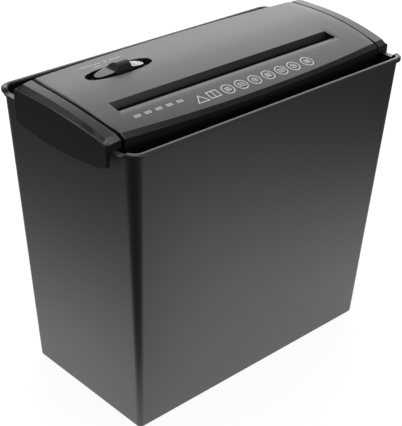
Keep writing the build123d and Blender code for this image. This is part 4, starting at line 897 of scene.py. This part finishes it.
greased_acetal = moulded("greased_acetal", (0.7, 0.67, 0.56), 0.27, grain_scale=500.0, grain_depth=0.00001,
                         dust=0.2)
paint(greased_acetal, "front_sync_gear", "rear_sync_gear", "output_gear", "second_gear", "first_gear")
paint(metal("axle_steel", (0.6, 0.6, 0.62), 0.22, stretch=(0.05, 1, 1), depth=0.000004, tarnish=0.1),
      "gear_axles")
dark_nylon = moulded("comb_nylon", (0.055, 0.055, 0.058), 0.5, grain_scale=1000.0, grain_depth=0.00003,
                     dust=0.1)
paint(dark_nylon, "gear_cover")
paint(screw_steel, "gear_cover_screws")

# ---------------------------------------------------------------------------
# Stripper combs: glass-filled nylon fingers between the discs, which lift the
# cut strips off. They hook on the tie rods.
# ---------------------------------------------------------------------------

paint(dark_nylon, "front_stripper_comb", "rear_stripper_comb")

# ---------------------------------------------------------------------------
# Motor: a drawn, zinc-plated can with two ferrite magnets and a black end
# bell, a varnished laminated armature, and a turned brass pinion.
# ---------------------------------------------------------------------------

paint(metal("can_steel", (0.52, 0.52, 0.53), 0.33, stretch=(0.06, 1, 1), tarnish=0.25,
            stain=(0.34, 0.34, 0.36)), "motor_can")
paint(moulded("ferrite", (0.055, 0.055, 0.06), 0.62, grain_scale=2200.0, grain_depth=0.00004, dust=0.03),
      "motor_magnets")
paint(switch_pbt, "motor_end_bell")
paint(metal("laminations", (0.24, 0.22, 0.2), 0.42, stretch=(6, 0.3, 0.3), depth=0.00004, tarnish=0.7,
            stain=(0.34, 0.15, 0.06)), "motor_armature")
paint(metal("pinion_brass", (0.72, 0.52, 0.24), 0.26, stretch=(0.2, 1, 1), depth=0.000008, tarnish=0.3,
            stain=(0.4, 0.25, 0.1)), "motor_pinion")
paint(screw_steel, "motor_screws")

# ---------------------------------------------------------------------------
# Electrics: a lacquered laminate board with a relay, a film capacitor and a
# rectifier, and a thermal cutout that stops the motor before it overheats.
# ---------------------------------------------------------------------------

board_laminate, tree, shader = new_material("board_laminate")
where = add_node(tree, "ShaderNodeTexCoord")
tracks = add_node(tree, "ShaderNodeTexBrick", scale=190, mortar_size=0.03)
tracks.inputs["Color1"].default_value = (0.03, 0.13, 0.055, 1)
tracks.inputs["Color2"].default_value = (0.05, 0.19, 0.08, 1)
tracks.inputs["Mortar"].default_value = (0.09, 0.27, 0.12, 1)
bump = add_node(tree, "ShaderNodeBump", distance=0.00003, strength=0.6)
wire(tree, (where, "Object", tracks, "Vector"), (tracks, "Color", shader, "Base Color"),
     (tracks, "Fac", bump, "Height"), (bump, "Normal", shader, "Normal"))
shader.inputs["Roughness"].default_value = 0.3
paint(board_laminate, "circuit_board")
paint(moulded("relay_case", (0.03, 0.09, 0.28), 0.3, grain_scale=900.0, dust=0.04), "power_relay")
paint(moulded("capacitor_case", (0.6, 0.43, 0.06), 0.28, grain_scale=600.0, dust=0.04), "noise_capacitor")
paint(moulded("epoxy_case", (0.02, 0.02, 0.022), 0.5, grain_scale=1400.0, dust=0.03), "rectifier")
paint(moulded("phenolic", (0.045, 0.025, 0.018), 0.42, grain_scale=800.0, dust=0.05), "thermal_cutout")
paint(screw_steel, "board_screws")

# ---------------------------------------------------------------------------
# Mode switch: a black glass-filled slide switch under the slider, held to
# the cover's underside by two screws.
# ---------------------------------------------------------------------------

paint(switch_pbt, "mode_switch")
paint(screw_steel, "switch_screws")
